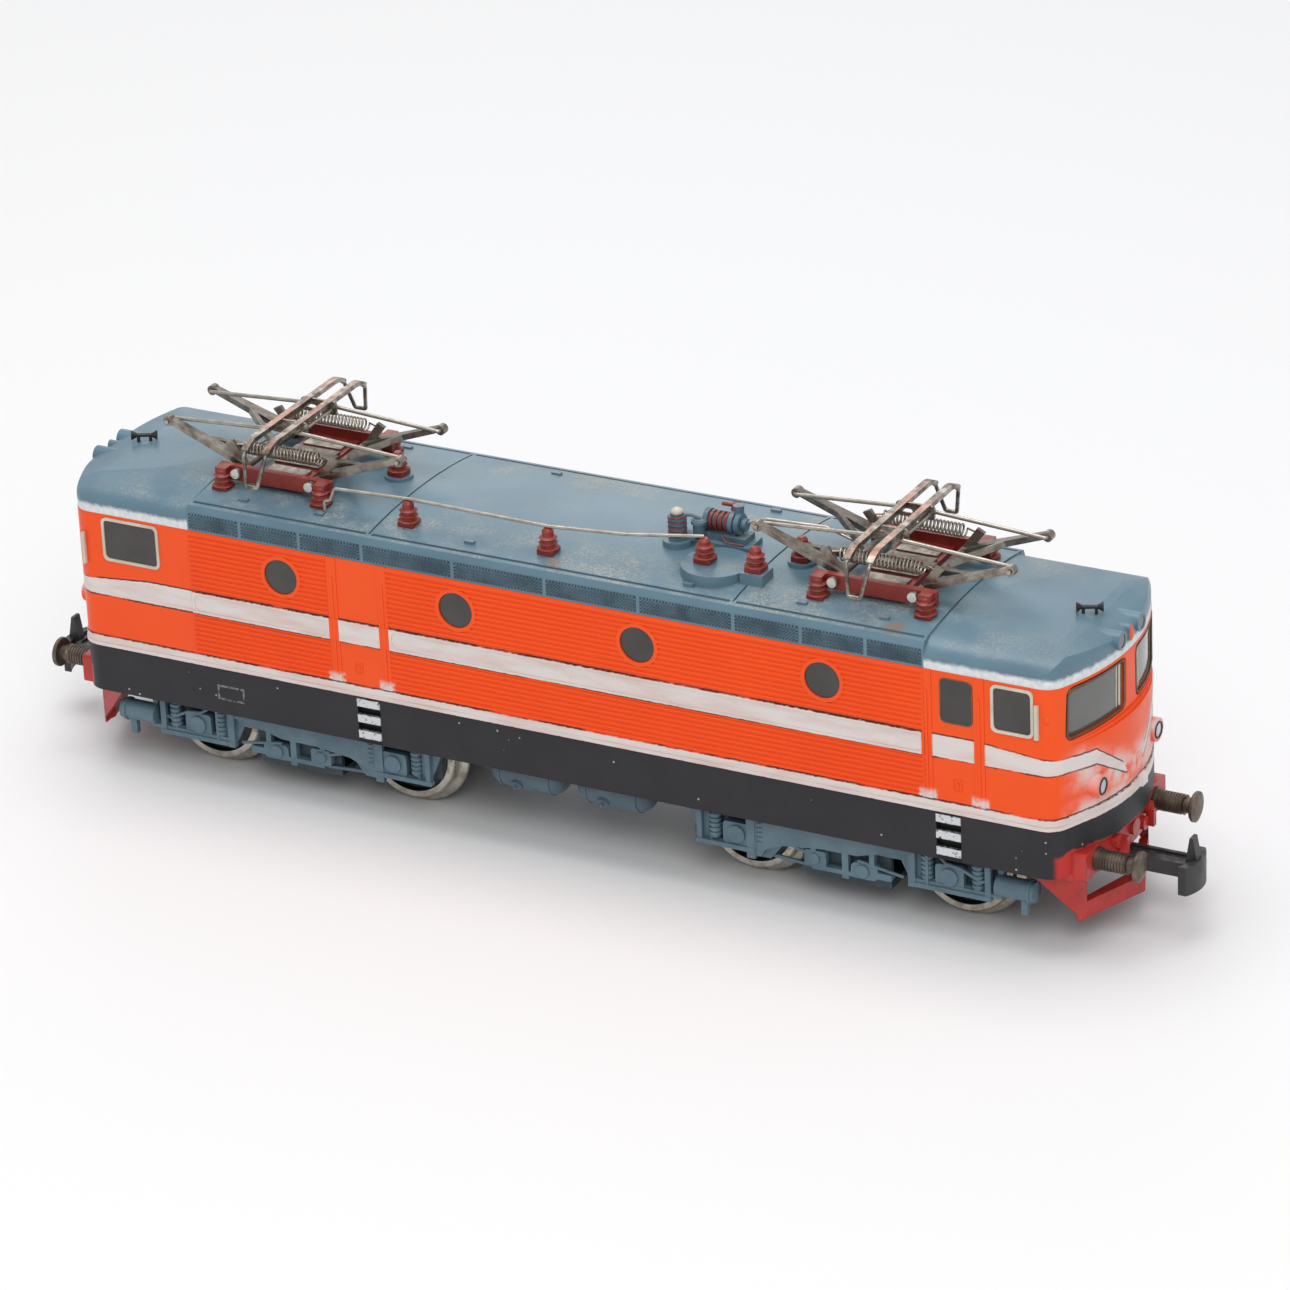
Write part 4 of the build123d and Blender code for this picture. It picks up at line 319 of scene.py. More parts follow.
ORANGE = (0.92, 0.088, 0.006)
STRIPE_WHITE = (0.72, 0.66, 0.63)
SKIRT_GREY = (0.022, 0.022, 0.026)
LINE_BLACK = (0.012, 0.011, 0.012)
STEP_WHITE = (0.62, 0.64, 0.66)
STEP_BLACK = (0.008, 0.008, 0.009)
BEAM_RED = (0.50, 0.030, 0.022)
UNDERCOAT_RED = (0.62, 0.16, 0.10)
ROOF_BLUE = (0.125, 0.215, 0.270)
ROOF_SHADE = (0.092, 0.165, 0.215)
GROOVE_SHADE = (0.035, 0.050, 0.060)
RUST = (0.30, 0.14, 0.05)
DUST = (0.42, 0.40, 0.34)


def belt_edges(graph):
    """Lower and upper edge of the pale belt: level on the sides, a chevron on the nose."""
    along = graph.reach_x
    across = graph.reach_y
    side_low = graph.line(along, *BELT_TAPER_X, BELT_LOW_Z, BELT_CORNER_Z[0])
    side_high = graph.line(along, *BELT_TAPER_X, BELT_HIGH_Z, BELT_CORNER_Z[1])
    end_rise = graph.line(across, CHEVRON_Y[1], CHEVRON_END_Y, 0, CHEVRON_END_RISE)
    nose_low = graph.maths("ADD", graph.line(across, *CHEVRON_Y, *CHEVRON_LOW_Z), end_rise)
    nose_high = graph.maths("ADD", graph.line(across, *CHEVRON_Y, *CHEVRON_HIGH_Z), end_rise)
    on_nose = graph.rise(along, *BELT_TURN_X)
    return graph.blend(on_nose, side_low, nose_low), graph.blend(on_nose, side_high, nose_high)


def distance_along(graph):
    """Position along the near side, or along the far side under the half turn."""
    return graph.maths("MULTIPLY", graph.x, graph.maths("MULTIPLY", graph.maths("SIGN", graph.y), -1))


def belt_gaps(graph, along):
    """Mask of the orange door posts and the bare middle of the nose, where the belt is broken."""
    posts = []
    for start, end in (BLANK_DOOR_X, CAB_DOOR_X):
        posts.append(graph.inside(along, start, start + POST_WIDTH))
        posts.append(graph.inside(along, end - POST_WIDTH, end))
    on_nose = graph.above(graph.reach_x, NOSE_X)
    rise = graph.maths("SUBTRACT", graph.z, CHEVRON_TIP_Z)
    tip = graph.maths("ADD", CHEVRON_Y[0], graph.maths("MULTIPLY", rise, CHEVRON_TIP_SLANT))
    bare = graph.both(on_nose, graph.above(tip, graph.reach_y))
    return graph.either(*posts, bare)


def body_material():
    """Orange shell with pale belt and sill, dark skirt, painted steps and overspray on the nose."""
    graph = Graph("body_paint")
    ragged = graph.maths("MULTIPLY", graph.maths("SUBTRACT", graph.noise(0.7, 5), 0.5), 0.30)
    height = graph.maths("ADD", graph.z, ragged)
    low, high = belt_edges(graph)
    along = distance_along(graph)
    open_side = graph.without(belt_gaps(graph, along))
    belt = graph.both(graph.inside(height, low, high, 0.05), open_side)
    outlines = graph.either(
        graph.inside(graph.maths("SUBTRACT", height, high), -OUTLINE_LAP, OUTLINE_WIDTH, 0.04),
        graph.inside(graph.maths("SUBTRACT", height, low), -OUTLINE_WIDTH, OUTLINE_LAP, 0.04),
        graph.inside(height, SILL_TOP_Z, SILL_TOP_Z + OUTLINE_WIDTH, 0.04),
    )
    on_nose = graph.rise(graph.reach_x, *HAZE_X)
    broken = graph.rise(graph.noise(2.2, 5, stretch=(3, 3, 1)), 0.36, 0.50)
    broken = graph.either(broken, on_nose)
    near_sill = graph.above(SILL_TOP_Z + 0.6, graph.z)
    outlines = graph.both(outlines, graph.either(open_side, near_sill), broken)
    sill = graph.inside(height, SILL_Z, SILL_TOP_Z, 0.05)
    skirt = graph.above(SILL_Z - 0.02, height, 0.05)

    # red lines show through where the pale paint is thin: in the groove of the sill and inside the belt
    thin = graph.either(
        graph.inside(height, *SILL_GROOVE_Z, 0.06),
        graph.both(graph.inside(height, BELT_LOW_Z + BELT_LINE[0], BELT_LOW_Z + BELT_LINE[1], 0.05), belt),
    )
    thin = graph.both(thin, graph.rise(graph.noise(3.0, 4, stretch=(4, 1, 1), shift=7), 0.42, 0.62))

    orange = graph.mix(graph.rise(graph.noise(26, 3), 0.3, 0.7), ORANGE, (0.88, 0.076, 0.006))
    # pale overspray round the lamps and along the belt and sill of the nose
    tip_line = graph.line(graph.reach_y, *HAZE_Y, *HAZE_Z)
    close = graph.rise(graph.maths("ABSOLUTE", graph.maths("SUBTRACT", graph.z, tip_line)), 0.4, 4.6, 1, 0)
    foot = graph.rise(graph.z, *HAZE_FOOT_Z, 1, 0)
    patchy = graph.rise(graph.noise(3.4, 3), 0.24, 0.58)
    haze = graph.both(on_nose, graph.either(close, foot), patchy, graph.above(HAZE_TOP_Z, graph.z, 1.0))
    orange = graph.mix(graph.maths("MULTIPLY", haze, 0.85), orange, STRIPE_WHITE)
    feet = [
        graph.inside(along, middle - POST_FOOT_HALF_WIDTH, middle + POST_FOOT_HALF_WIDTH, 0.25)
        for middle in POST_FEET_X
    ]
    low_down = graph.rise(graph.z, *POST_FOOT_Z, 1, 0)
    post_foot = graph.both(graph.either(*feet), low_down, graph.rise(graph.noise(0.9, 4), 0.30, 0.48))
    orange = graph.mix(graph.maths("MULTIPLY", post_foot, 0.85), orange, STRIPE_WHITE)

    streaks = graph.noise(1.6, 5, stretch=(6, 6, 1), shift=3)
    white = graph.mix(graph.rise(streaks, 0.35, 0.75), STRIPE_WHITE, (0.66, 0.52, 0.48))
    colour = graph.mix(graph.either(belt, sill), orange, white)
    colour = graph.mix(graph.maths("MULTIPLY", thin, 0.2), colour, UNDERCOAT_RED)
    colour = graph.mix(graph.maths("MULTIPLY", outlines, 0.85), colour, LINE_BLACK)

    # steps in the skirt: pale bars over black pockets
    in_steps = graph.either(*[graph.inside(along, start, end, 0.05) for start, end in STEP_X])
    in_steps = graph.both(in_steps, graph.above(SILL_Z - 0.2, graph.z))
    bars = graph.either(*[
        graph.inside(height, z - STEP_HALF_HEIGHT, z + STEP_HALF_HEIGHT, 0.08)
        for z in STEP_MIDDLE_Z
    ])
    outer = graph.above(graph.reach_y, HALF_WIDTH - 0.3, 0.1)
    bars = graph.both(bars, outer, graph.rise(graph.noise(0.6, 5, shift=5), 0.30, 0.42))
    skirt_colour = graph.mix(graph.rise(graph.noise(8, 4), 0.35, 0.7), SKIRT_GREY, (0.026, 0.026, 0.030))
    skirt_colour = graph.mix(graph.specks(0.9, 0.035), skirt_colour, (0.40, 0.40, 0.40))
    step_colour = graph.mix(bars, STEP_BLACK, STEP_WHITE)
    skirt_colour = graph.mix(in_steps, skirt_colour, step_colour)

    # blank plate outlined on the rear skirt
    plate = graph.both(graph.inside(along, *PLATE_X), graph.inside(graph.z, *PLATE_Z))
    plate_core = graph.both(
        graph.inside(along, PLATE_X[0] + PLATE_RIM, PLATE_X[1] - PLATE_RIM),
        graph.inside(graph.z, PLATE_Z[0] + PLATE_RIM, PLATE_Z[1] - PLATE_RIM),
    )
    rim = graph.both(graph.maths("SUBTRACT", plate, plate_core), graph.rise(graph.noise(0.8, 4), 0.4, 0.55))
    skirt_colour = graph.mix(graph.maths("MULTIPLY", rim, 0.6), skirt_colour, (0.30, 0.32, 0.34))

    # the lower corners of the ends were painted together with the beam
    corner_height = graph.maths("ADD", graph.z, graph.maths("MULTIPLY", graph.noise(2.5, 4), 2.5))
    beam_paint = graph.both(
        graph.above(BEAM_PAINT_TOP_Z, corner_height, 0.25),
        graph.above(graph.reach_x, BEAM_PAINT_X, 0.4),
    )
    skirt_colour = graph.mix(beam_paint, skirt_colour, BEAM_RED)
    colour = graph.mix(skirt, colour, skirt_colour)
    roughness = graph.blend(skirt, graph.rise(graph.noise(5, 4), 0.2, 0.8, 0.26, 0.40), 0.46)
    graph.relief(graph.noise(0.5, 3), 0.02)
    return graph.surface(colour, roughness, Specular_IOR_Level=0.28)


def roof_material():
    """Blue-grey roof with a pale band along the cab eaves, painted shade in the grooves and along the edges
    of its upward faces, and settled dust.
    """
    graph = Graph("roof_paint")
    base = graph.mix(graph.rise(graph.noise(22, 3), 0.3, 0.7), ROOF_BLUE, ROOF_SHADE)
    along = graph.reach_x
    across = graph.reach_y
    up = graph.facing_up()
    patches = graph.rise(graph.noise(9.0, 6, 0.65), 0.40, 0.66)
    grain = graph.rise(graph.noise(0.35, 5, 0.75), 0.40, 0.62)
    near_edge = graph.rise(across, 5.0, 11.0, 0.25, 1.0)
    near_feet = graph.rise(along, 63.0, 74.0, 1.0, 0.25)
    dust = graph.both(up, patches, grain, near_edge, near_feet)
    colour = graph.mix(graph.maths("MULTIPLY", dust, 0.9), base, DUST)
    rust = graph.both(up, graph.specks(9.0, 0.05))
    colour = graph.mix(graph.maths("MULTIPLY", rust, 0.5), colour, RUST)
    ragged = graph.maths("MULTIPLY", graph.maths("SUBTRACT", graph.noise(0.9, 5), 0.5), 0.9)
    band = graph.both(
        graph.above(ROOF_BAND_Z, graph.maths("ADD", graph.z, ragged), 0.4),
        graph.above(along, PANEL_END_X, 0.1),
    )
    silver = graph.mix(graph.rise(graph.noise(0.8, 5), 0.30, 0.7), (0.60, 0.64, 0.66), (0.76, 0.77, 0.77))
    colour = graph.mix(band, colour, silver)
    # painted shade: grooves and edges of the upward faces are darkened to grey
    groove = graph.wear_and_shade_edges(0.25, 0.05, 0.35)
    colour = graph.mix(graph.maths("MULTIPLY", graph.both(groove, up), 0.5), colour, GROOVE_SHADE)
    roughness = graph.blend(dust, 0.34, 0.75)
    graph.relief(graph.noise(0.6, 4), 0.03, 0.15)
    return graph.surface(colour, roughness)


def plastic_material(name, colour, second, roughness=0.45, dust=0.35, edge=None):
    """Moulded or painted piece: two close tones, dust on top, lighter or darker edges."""
    graph = Graph(name)
    tone = graph.mix(graph.rise(graph.noise(4.0, 4), 0.3, 0.7), colour, second)
    settled = graph.both(graph.facing_up(0.3, 0.95), graph.rise(graph.noise(1.5, 5, 0.65), 0.42, 0.68))
    tone = graph.mix(graph.maths("MULTIPLY", settled, dust), tone, DUST)
    if edge:
        worn = graph.both(graph.wear_and_shade_edges(), graph.rise(graph.noise(0.9, 4, shift=2), 0.42, 0.56))
        tone = graph.mix(graph.maths("MULTIPLY", worn, 0.8), tone, edge)
    spread = graph.rise(graph.noise(2.0, 4, shift=9), 0.2, 0.8, roughness - 0.06, roughness + 0.10)
    graph.relief(graph.noise(0.5, 3), 0.02)
    return graph.surface(tone, spread)


def bogie_material():
    """Blue-grey side frames, with painted shade darkening the depths behind their outer face."""
    graph = Graph("bogie_grey")
    tone = graph.mix(graph.rise(graph.noise(4.0, 4), 0.3, 0.7), (0.112, 0.187, 0.230), (0.080, 0.138, 0.175))
    worn = graph.both(graph.wear_and_shade_edges(), graph.rise(graph.noise(0.9, 4, shift=2), 0.42, 0.56))
    tone = graph.mix(graph.maths("MULTIPLY", worn, 0.7), tone, (0.18, 0.26, 0.30))
    # painted shade: everything behind the outer face is darkened towards black
    depth = graph.rise(graph.reach_y, 13.0, 14.25, 1, 0)
    tone = graph.mix(graph.maths("MULTIPLY", depth, 0.85), tone, (0.012, 0.016, 0.019))
    graph.relief(graph.noise(0.5, 3), 0.02)
    return graph.surface(tone, graph.rise(graph.noise(2.0, 4, shift=9), 0.2, 0.8, 0.42, 0.58))


def metal_material(name, colour, tarnish, roughness=0.32, cover=0.6):
    """Bare or plated metal, tarnished in patches."""
    graph = Graph(name)
    patches = graph.rise(graph.noise(1.8, 6, 0.65), 0.36, 0.66)
    tone = graph.mix(graph.maths("MULTIPLY", patches, cover), colour, tarnish)
    spread = graph.rise(graph.noise(1.0, 5, shift=4), 0.25, 0.75, roughness, roughness + 0.22)
    graph.relief(graph.noise(0.35, 4), 0.015, 0.06)
    return graph.surface(tone, spread, graph.blend(patches, 1.0, 0.82))


def head_material():
    """Contact bars: tarnished plating, rubbed down to a coppery track along the top."""
    graph = Graph("head_metal")
    patches = graph.rise(graph.noise(1.8, 6, 0.65), 0.36, 0.62)
    tone = graph.mix(patches, (0.42, 0.39, 0.34), (0.13, 0.105, 0.085))
    streaks = graph.rise(graph.noise(1.4, 5, stretch=(1, 6, 1)), 0.42, 0.58)
    worn = graph.both(graph.facing_up(0.8, 0.99), streaks)
    tone = graph.mix(graph.maths("MULTIPLY", worn, 0.7), tone, (0.50, 0.26, 0.19))
    graph.relief(graph.noise(0.35, 4), 0.02, 0.1)
    roughness = graph.rise(graph.noise(1.0, 4), 0.3, 0.7, 0.25, 0.45)
    return graph.surface(tone, roughness, graph.blend(patches, 1.0, 0.85))


WHEELSETS = (
    "drive_wheelset_inner", "drive_wheelset_outer", "trailing_wheelset_inner", "trailing_wheelset_outer",
)
WHEEL_DISC_RADIUS = 6.35
WHEEL_INNER_Y = 7.0


def wheel_material():
    """Plated rim, blackened disc and axle."""
    graph = Graph("wheel_metal")
    across = graph.reach_y
    low, high = box_mm(WHEELSETS[0])
    height = graph.maths("SUBTRACT", graph.z, (low.z + high.z) / 2)
    offsets = []
    for wheelset in WHEELSETS:
        low, high = box_mm(wheelset)
        offsets.append(graph.maths("ABSOLUTE", graph.maths("SUBTRACT", graph.x, (low.x + high.x) / 2)))
    nearest = offsets[0]
    for offset in offsets[1:]:
        nearest = graph.maths("MINIMUM", nearest, offset)
    radius = graph.distance(height, nearest)
    centre = graph.both(
        graph.above(WHEEL_DISC_RADIUS, radius, 0.05),
        graph.above(across, WHEEL_INNER_Y, 0.1),
    )
    grime = graph.rise(graph.noise(1.6, 5), 0.4, 0.7)
    rim = graph.mix(grime, (0.60, 0.56, 0.49), (0.36, 0.31, 0.25))
    tone = graph.mix(centre, rim, (0.015, 0.014, 0.014))
    graph.relief(graph.noise(0.4, 3), 0.01)
    return graph.surface(tone, graph.blend(grime, 0.25, 0.45), graph.blend(centre, 0.9, 0.1))


def glass_material(name, inside_shade, haze):
    """Clear plastic coloured with painted shade of the unlit inside behind it, lighter on the windscreens as
    a painted reflection, with a faint film of dust.
    """
    graph = Graph(name)
    film = graph.rise(graph.noise(6.0, 2), 0.3, 0.7)
    tone = graph.mix(film, inside_shade, haze)
    graph.relief(graph.noise(3.0, 2), 0.02, 0.0)
    return graph.surface(tone, graph.rise(graph.noise(1.5, 4), 0.3, 0.7, 0.08, 0.20), Specular_IOR_Level=0.6)


def beam_material():
    """Red beam, chipped to bare metal along the edges of the plough."""
    graph = Graph("beam_red")
    tone = graph.mix(graph.rise(graph.noise(3.0, 4), 0.3, 0.7), (0.52, 0.030, 0.022), (0.40, 0.022, 0.018))
    chips = graph.both(graph.wear_and_shade_edges(0.2, 0.03, 0.12), graph.rise(graph.noise(1.1, 5), 0.50, 0.60))
    tone = graph.mix(chips, tone, (0.05, 0.045, 0.045))
    soot = graph.rise(graph.noise(1.8, 5, shift=6), 0.55, 0.75)
    tone = graph.mix(graph.maths("MULTIPLY", soot, 0.35), tone, (0.12, 0.02, 0.02))
    graph.relief(graph.noise(0.6, 4), 0.04)
    return graph.surface(tone, graph.rise(graph.noise(1.4, 4), 0.3, 0.7, 0.28, 0.45))


def lens_material():
    """Lower lamps: grey reflector with a bright centre. Roof lamps: dark."""
    graph = Graph("lamp_lens")
    along = graph.reach_x
    low_lamp = graph.above(34.0, graph.z, 1.0)
    across = graph.maths("SUBTRACT", graph.reach_y, LAMP_Y)
    height = graph.maths("SUBTRACT", graph.z, LAMP_Z)
    ring = graph.inside(graph.distance(across, height), 0.55, 0.8, 0.06)
    tone = graph.mix(ring, (0.42, 0.42, 0.40), (0.05, 0.05, 0.05))
    tone = graph.mix(low_lamp, (0.030, 0.026, 0.028), tone)
    tone = graph.mix(graph.rise(along, 60, 70, 0.2, 0.0), tone, (0.2, 0.2, 0.2))
    tone = graph.mix(graph.rise(graph.noise(0.4, 3), 0.4, 0.8, 0, 0.4), tone, (0.10, 0.09, 0.09))
    return graph.surface(tone, graph.rise(graph.noise(0.8, 3), 0.3, 0.7, 0.1, 0.2), Coat_Weight=0.6)


# ---------------- materials of the CAD nodes
MATERIAL = {
    "body": body_material(),
    "roof": roof_material(),
    "roof_fittings": plastic_material("roof_fittings", ROOF_BLUE, (0.060, 0.110, 0.150), 0.5, 0.4),
    "bogie": bogie_material(),
    "tank": plastic_material("tank_grey", (0.085, 0.135, 0.170), (0.065, 0.110, 0.140), 0.45, 0.1),
    "cream": plastic_material("cream_frames", (0.66, 0.61, 0.50), (0.52, 0.47, 0.37), 0.35, 0.1),
    "insulator": plastic_material(
        "insulator_red", (0.27, 0.026, 0.015), (0.18, 0.016, 0.010), 0.34, 0.10, (0.38, 0.10, 0.06)),
    "coupler": plastic_material("coupler_black", (0.020, 0.020, 0.022), (0.030, 0.030, 0.032), 0.42, 0.15),
    "black": plastic_material("blackened", (0.012, 0.012, 0.013), (0.022, 0.021, 0.021), 0.5, 0.1),
    "beam": beam_material(),
    # glass colours: painted shade of the unlit inside; the lighter windscreen grey is also a painted
    # reflection
    "pane": glass_material("side_glass", (0.028, 0.025, 0.023), (0.042, 0.038, 0.034)),
    "screen": glass_material("screen_glass", (0.120, 0.118, 0.112), (0.135, 0.133, 0.128)),
    "lens": lens_material(),
    "wheel": wheel_material(),
    "pantograph": metal_material("pantograph_metal", (0.38, 0.34, 0.29), (0.12, 0.095, 0.075), 0.26, 0.75),
    "head": head_material(),
    "wire": metal_material("wire_metal", (0.52, 0.48, 0.42), (0.26, 0.22, 0.18), 0.25, 0.6),
    "bright": metal_material("bright_pin", (0.78, 0.76, 0.70), (0.50, 0.46, 0.40), 0.22, 0.4),
    "spring": metal_material("spring_wire", (0.46, 0.40, 0.34), (0.16, 0.12, 0.09), 0.24),
    "buffer": metal_material("buffer_steel", (0.20, 0.165, 0.13), (0.07, 0.05, 0.04), 0.34, 0.7),
    "copper": plastic_material(
        "copper_wire", (0.22, 0.035, 0.024), (0.14, 0.022, 0.016), 0.35, 0.1, (0.40, 0.16, 0.11)),
    "gasket": metal_material("gasket_bronze", (0.20, 0.155, 0.10), (0.09, 0.07, 0.05), 0.35),
    "lamp_glass": metal_material("lamp_reflector", (0.60, 0.60, 0.60), (0.20, 0.20, 0.20), 0.15, 0.5),
    "marker": plastic_material("orange_marker", (0.80, 0.11, 0.02), (0.70, 0.09, 0.02), 0.35, 0.0),
    "white": plastic_material("white_smear", (0.78, 0.74, 0.72), (0.70, 0.62, 0.60), 0.4, 0.0),
    "steel": metal_material("inner_steel", (0.35, 0.34, 0.33), (0.16, 0.14, 0.12), 0.35),
    "zinc": plastic_material("zinc_casting", (0.045, 0.044, 0.045), (0.070, 0.068, 0.066), 0.45, 0.05),
    "rubber": plastic_material("rubber", (0.020, 0.020, 0.020), (0.030, 0.029, 0.028), 0.7, 0.1),
    "gear": plastic_material("gear_plastic", (0.62, 0.60, 0.52), (0.50, 0.48, 0.41), 0.4, 0.05),
    "brown": plastic_material("brown_resin", (0.10, 0.045, 0.025), (0.07, 0.030, 0.018), 0.4, 0.05),
    "clear": plastic_material("clear_bar", (0.55, 0.58, 0.60), (0.45, 0.48, 0.50), 0.12, 0.05),
}

NODE_MATERIAL = {
    "body_shell": "body", "roof_cover": "roof", "window_frames": "cream",
    "window_glazing_near": "pane", "window_glazing_far": "pane",
    "windscreen_front": "screen", "windscreen_rear": "screen",
    "lamp_lenses": "lens", "light_guides": "clear", "headlight_bulbs": "clear",
    "chassis_frame": "zinc", "air_tanks_near": "tank", "air_tanks_far": "tank",
    "body_screws": "steel", "reversing_unit": "copper", "ballast_weight": "zinc",
    "buffer_beam_front": "beam", "buffer_beam_rear": "beam", "buffers": "buffer",
    "coupler_front": "coupler", "coupler_rear": "coupler", "coupler_screws": "steel",
    "traction_tyres": "rubber", "motor_bogie_frame": "zinc", "trailing_bogie_frame": "zinc",
    "main_gear": "gear", "field_magnet": "steel", "field_coil": "copper", "armature": "steel",
    "brush_plate": "brown", "carbon_brushes": "black",
    "motor_bogie_sides": "bogie", "trailing_bogie_sides": "bogie",
    "pivot_screw": "steel", "pickup_shoe": "wire", "shoe_springs": "spring",
    "roof_insulators": "insulator", "roof_line_long": "wire", "roof_line_short": "wire",
    "circuit_breaker": "roof_fittings", "breaker_windings": "copper", "horns": "black",
}
for wheelset in WHEELSETS:
    NODE_MATERIAL[wheelset] = "wheel"
for place in PANTOGRAPHS:
    NODE_MATERIAL[f"pantograph_base_{place}"] = "insulator"
    NODE_MATERIAL[f"pantograph_head_{place}"] = "head"
    NODE_MATERIAL[f"pantograph_springs_{place}"] = "spring"
    for side in ("left", "right"):
        NODE_MATERIAL[f"lower_arm_{side}_{place}"] = "pantograph"
        NODE_MATERIAL[f"upper_arm_{side}_{place}"] = "wire"

for node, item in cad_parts.items():
    item.data.materials.clear()
    item.data.materials.append(MATERIAL[NODE_MATERIAL[node]])


# ---------------- mesh helpers
SHARP_ANGLE = math.radians(40)


def block(mesh, low, high):
    """Axis-parallel box between two corners."""
    made = bmesh.ops.create_cube(mesh, size=1)
    for vertex in made["verts"]:
        vertex.co = [start + (share + 0.5) * (end - start) for share, start, end in zip(vertex.co, low, high)]


def ball(mesh, centre, radius, stretch):
    """Sphere, stretched along the axes."""
    made = bmesh.ops.create_icosphere(mesh, subdivisions=3, radius=radius)
    bmesh.ops.scale(mesh, vec=stretch, verts=made["verts"])
    bmesh.ops.translate(mesh, vec=centre, verts=made["verts"])


def tube(mesh, points, radius, sides=8, closed=False):
    """Round wire through the points."""
    points = [Vector(point) for point in points]
    count = len(points)
    rings = []
    across = None
    for index, point in enumerate(points):
        before = points[index - 1] if index or closed else point
        after = points[(index + 1) % count] if index < count - 1 or closed else point
        direction = (after - before).normalized()
        if across is None:
            across = direction.orthogonal()
        across = (across - direction * across.dot(direction)).normalized()
        up = direction.cross(across)
        ring = []
        for step in range(sides):
            angle = math.tau * step / sides
            ring.append(mesh.verts.new(point + (across * math.cos(angle) + up * math.sin(angle)) * radius))
        rings.append(ring)
    pairs = list(zip(rings, rings[1:]))
    if closed:
        pairs.append((rings[-1], rings[0]))
    for first, second in pairs:
        for step in range(sides):
            follow = (step + 1) % sides
            mesh.faces.new((first[step], first[follow], second[follow], second[step]))
    if not closed:
        mesh.faces.new(list(reversed(rings[0])))
        mesh.faces.new(rings[-1])


def disc(mesh, centre, axis, radius, thickness, sides=24):
    """Short round rod, centred on a point."""
    half = Vector(axis).normalized() * thickness / 2
    tube(mesh, (Vector(centre) - half, Vector(centre) + half), radius, sides)


def vertices(made):
    """The vertices among what a bmesh operator returned."""
    return [item for item in made["geom"] if isinstance(item, bmesh.types.BMVert)]


def piece(name, draw, body, material, turned=False):
    """Builds one extra piece from draw(mesh), with a half-turned copy if asked for, to ride on a body."""
    mesh = bmesh.new()
    draw(mesh)
    if turned:
        copy = bmesh.ops.duplicate(mesh, geom=mesh.verts[:] + mesh.edges[:] + mesh.faces[:])
        bmesh.ops.transform(mesh, matrix=HALF_TURN, verts=vertices(copy))
    bmesh.ops.scale(mesh, vec=(MM, MM, MM), verts=mesh.verts)
    bmesh.ops.recalc_face_normals(mesh, faces=mesh.faces)
    data = bpy.data.meshes.new(name)
    mesh.to_mesh(data)
    mesh.free()
    data.shade_smooth()
    data.set_sharp_from_angle(angle=SHARP_ANGLE)
    data.materials.append(MATERIAL[material])
    made = bpy.data.objects.new(name, data)
    bpy.context.scene.collection.objects.link(made)
    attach(made, body)
    return made


# ---------------- springs
SPRING_WIRE = 0.15
COIL_STEPS = 14
LIFT_SPRING_TURNS = 22
LIFT_SPRING_HOOK = 2.0
LIFT_SPRING_INSET = 0.6
SHOE_SPRING_TURNS = 5
SHOE_SPRING_INSET = 0.3


def helix(centre, axis, radius, length, turns):
    """Points of a coil along X or Z."""
    points = []
    steps = turns * COIL_STEPS
    for step in range(steps + 1):
        angle = math.tau * turns * step / steps
        along = length * (step / steps - 0.5)
        first = (radius - SPRING_WIRE) * math.cos(angle)
        second = (radius - SPRING_WIRE) * math.sin(angle)
        offset = Vector((along, first, second)) if axis == "X" else Vector((first, second, along))
        points.append(Vector(centre) + offset)
    return points


def lifting_springs(low, high):
    """Pair of hooked coils in the box of the plain springs."""
    radius = (high.z - low.z) / 2
    length = high.x - low.x - LIFT_SPRING_INSET
    reach = Vector((length / 2 + LIFT_SPRING_HOOK, 0, 0))

    def draw(mesh):
        for y in (low.y + radius, high.y - radius):
            centre = Vector(((low.x + high.x) / 2, y, (low.z + high.z) / 2))
            coil = helix(centre, "X", radius, length, LIFT_SPRING_TURNS)
            tube(mesh, [centre - reach, *coil, centre + reach], SPRING_WIRE, 6)

    return draw


def draw_shoe_springs(mesh):
    low, high = box_mm("shoe_springs")
    radius = (high.y - low.y) / 2
    length = high.z - low.z - SHOE_SPRING_INSET
    for x in (low.x + radius, high.x - radius):
        coil = helix((x, 0, (low.z + high.z) / 2), "Z", radius, length, SHOE_SPRING_TURNS)
        tube(mesh, coil, SPRING_WIRE, 6)


for place in PANTOGRAPHS:
    low, high = box_mm(f"pantograph_springs_{place}")
    springs = piece(f"spring_coils_{place}", lifting_springs(low, high), BODY, "spring")
    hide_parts(f"pantograph_springs_{place}")
    middle = (low + high) / 2 * MM
    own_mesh(springs)

shoe_coils = piece("shoe_coils", draw_shoe_springs, "trailing_bogie", "spring")
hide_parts("shoe_springs")
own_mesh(shoe_coils)

# ---------------- grilles of the roof sides
GRILLE_Z = (42.35, 44.75)
GRILLE_BARS_X = (-59.4, -50.5, -40.5, -30.0, -15.0, 0.0, 15.0, 30.0, 40.5, 50.5, 59.4)
GRILLE_POST = 0.6
GRILLE_PITCH = 0.52
GRILLE_BAR = 0.2
GRILLE_DEPTH = 0.16
GRILLE_ROWS = 5


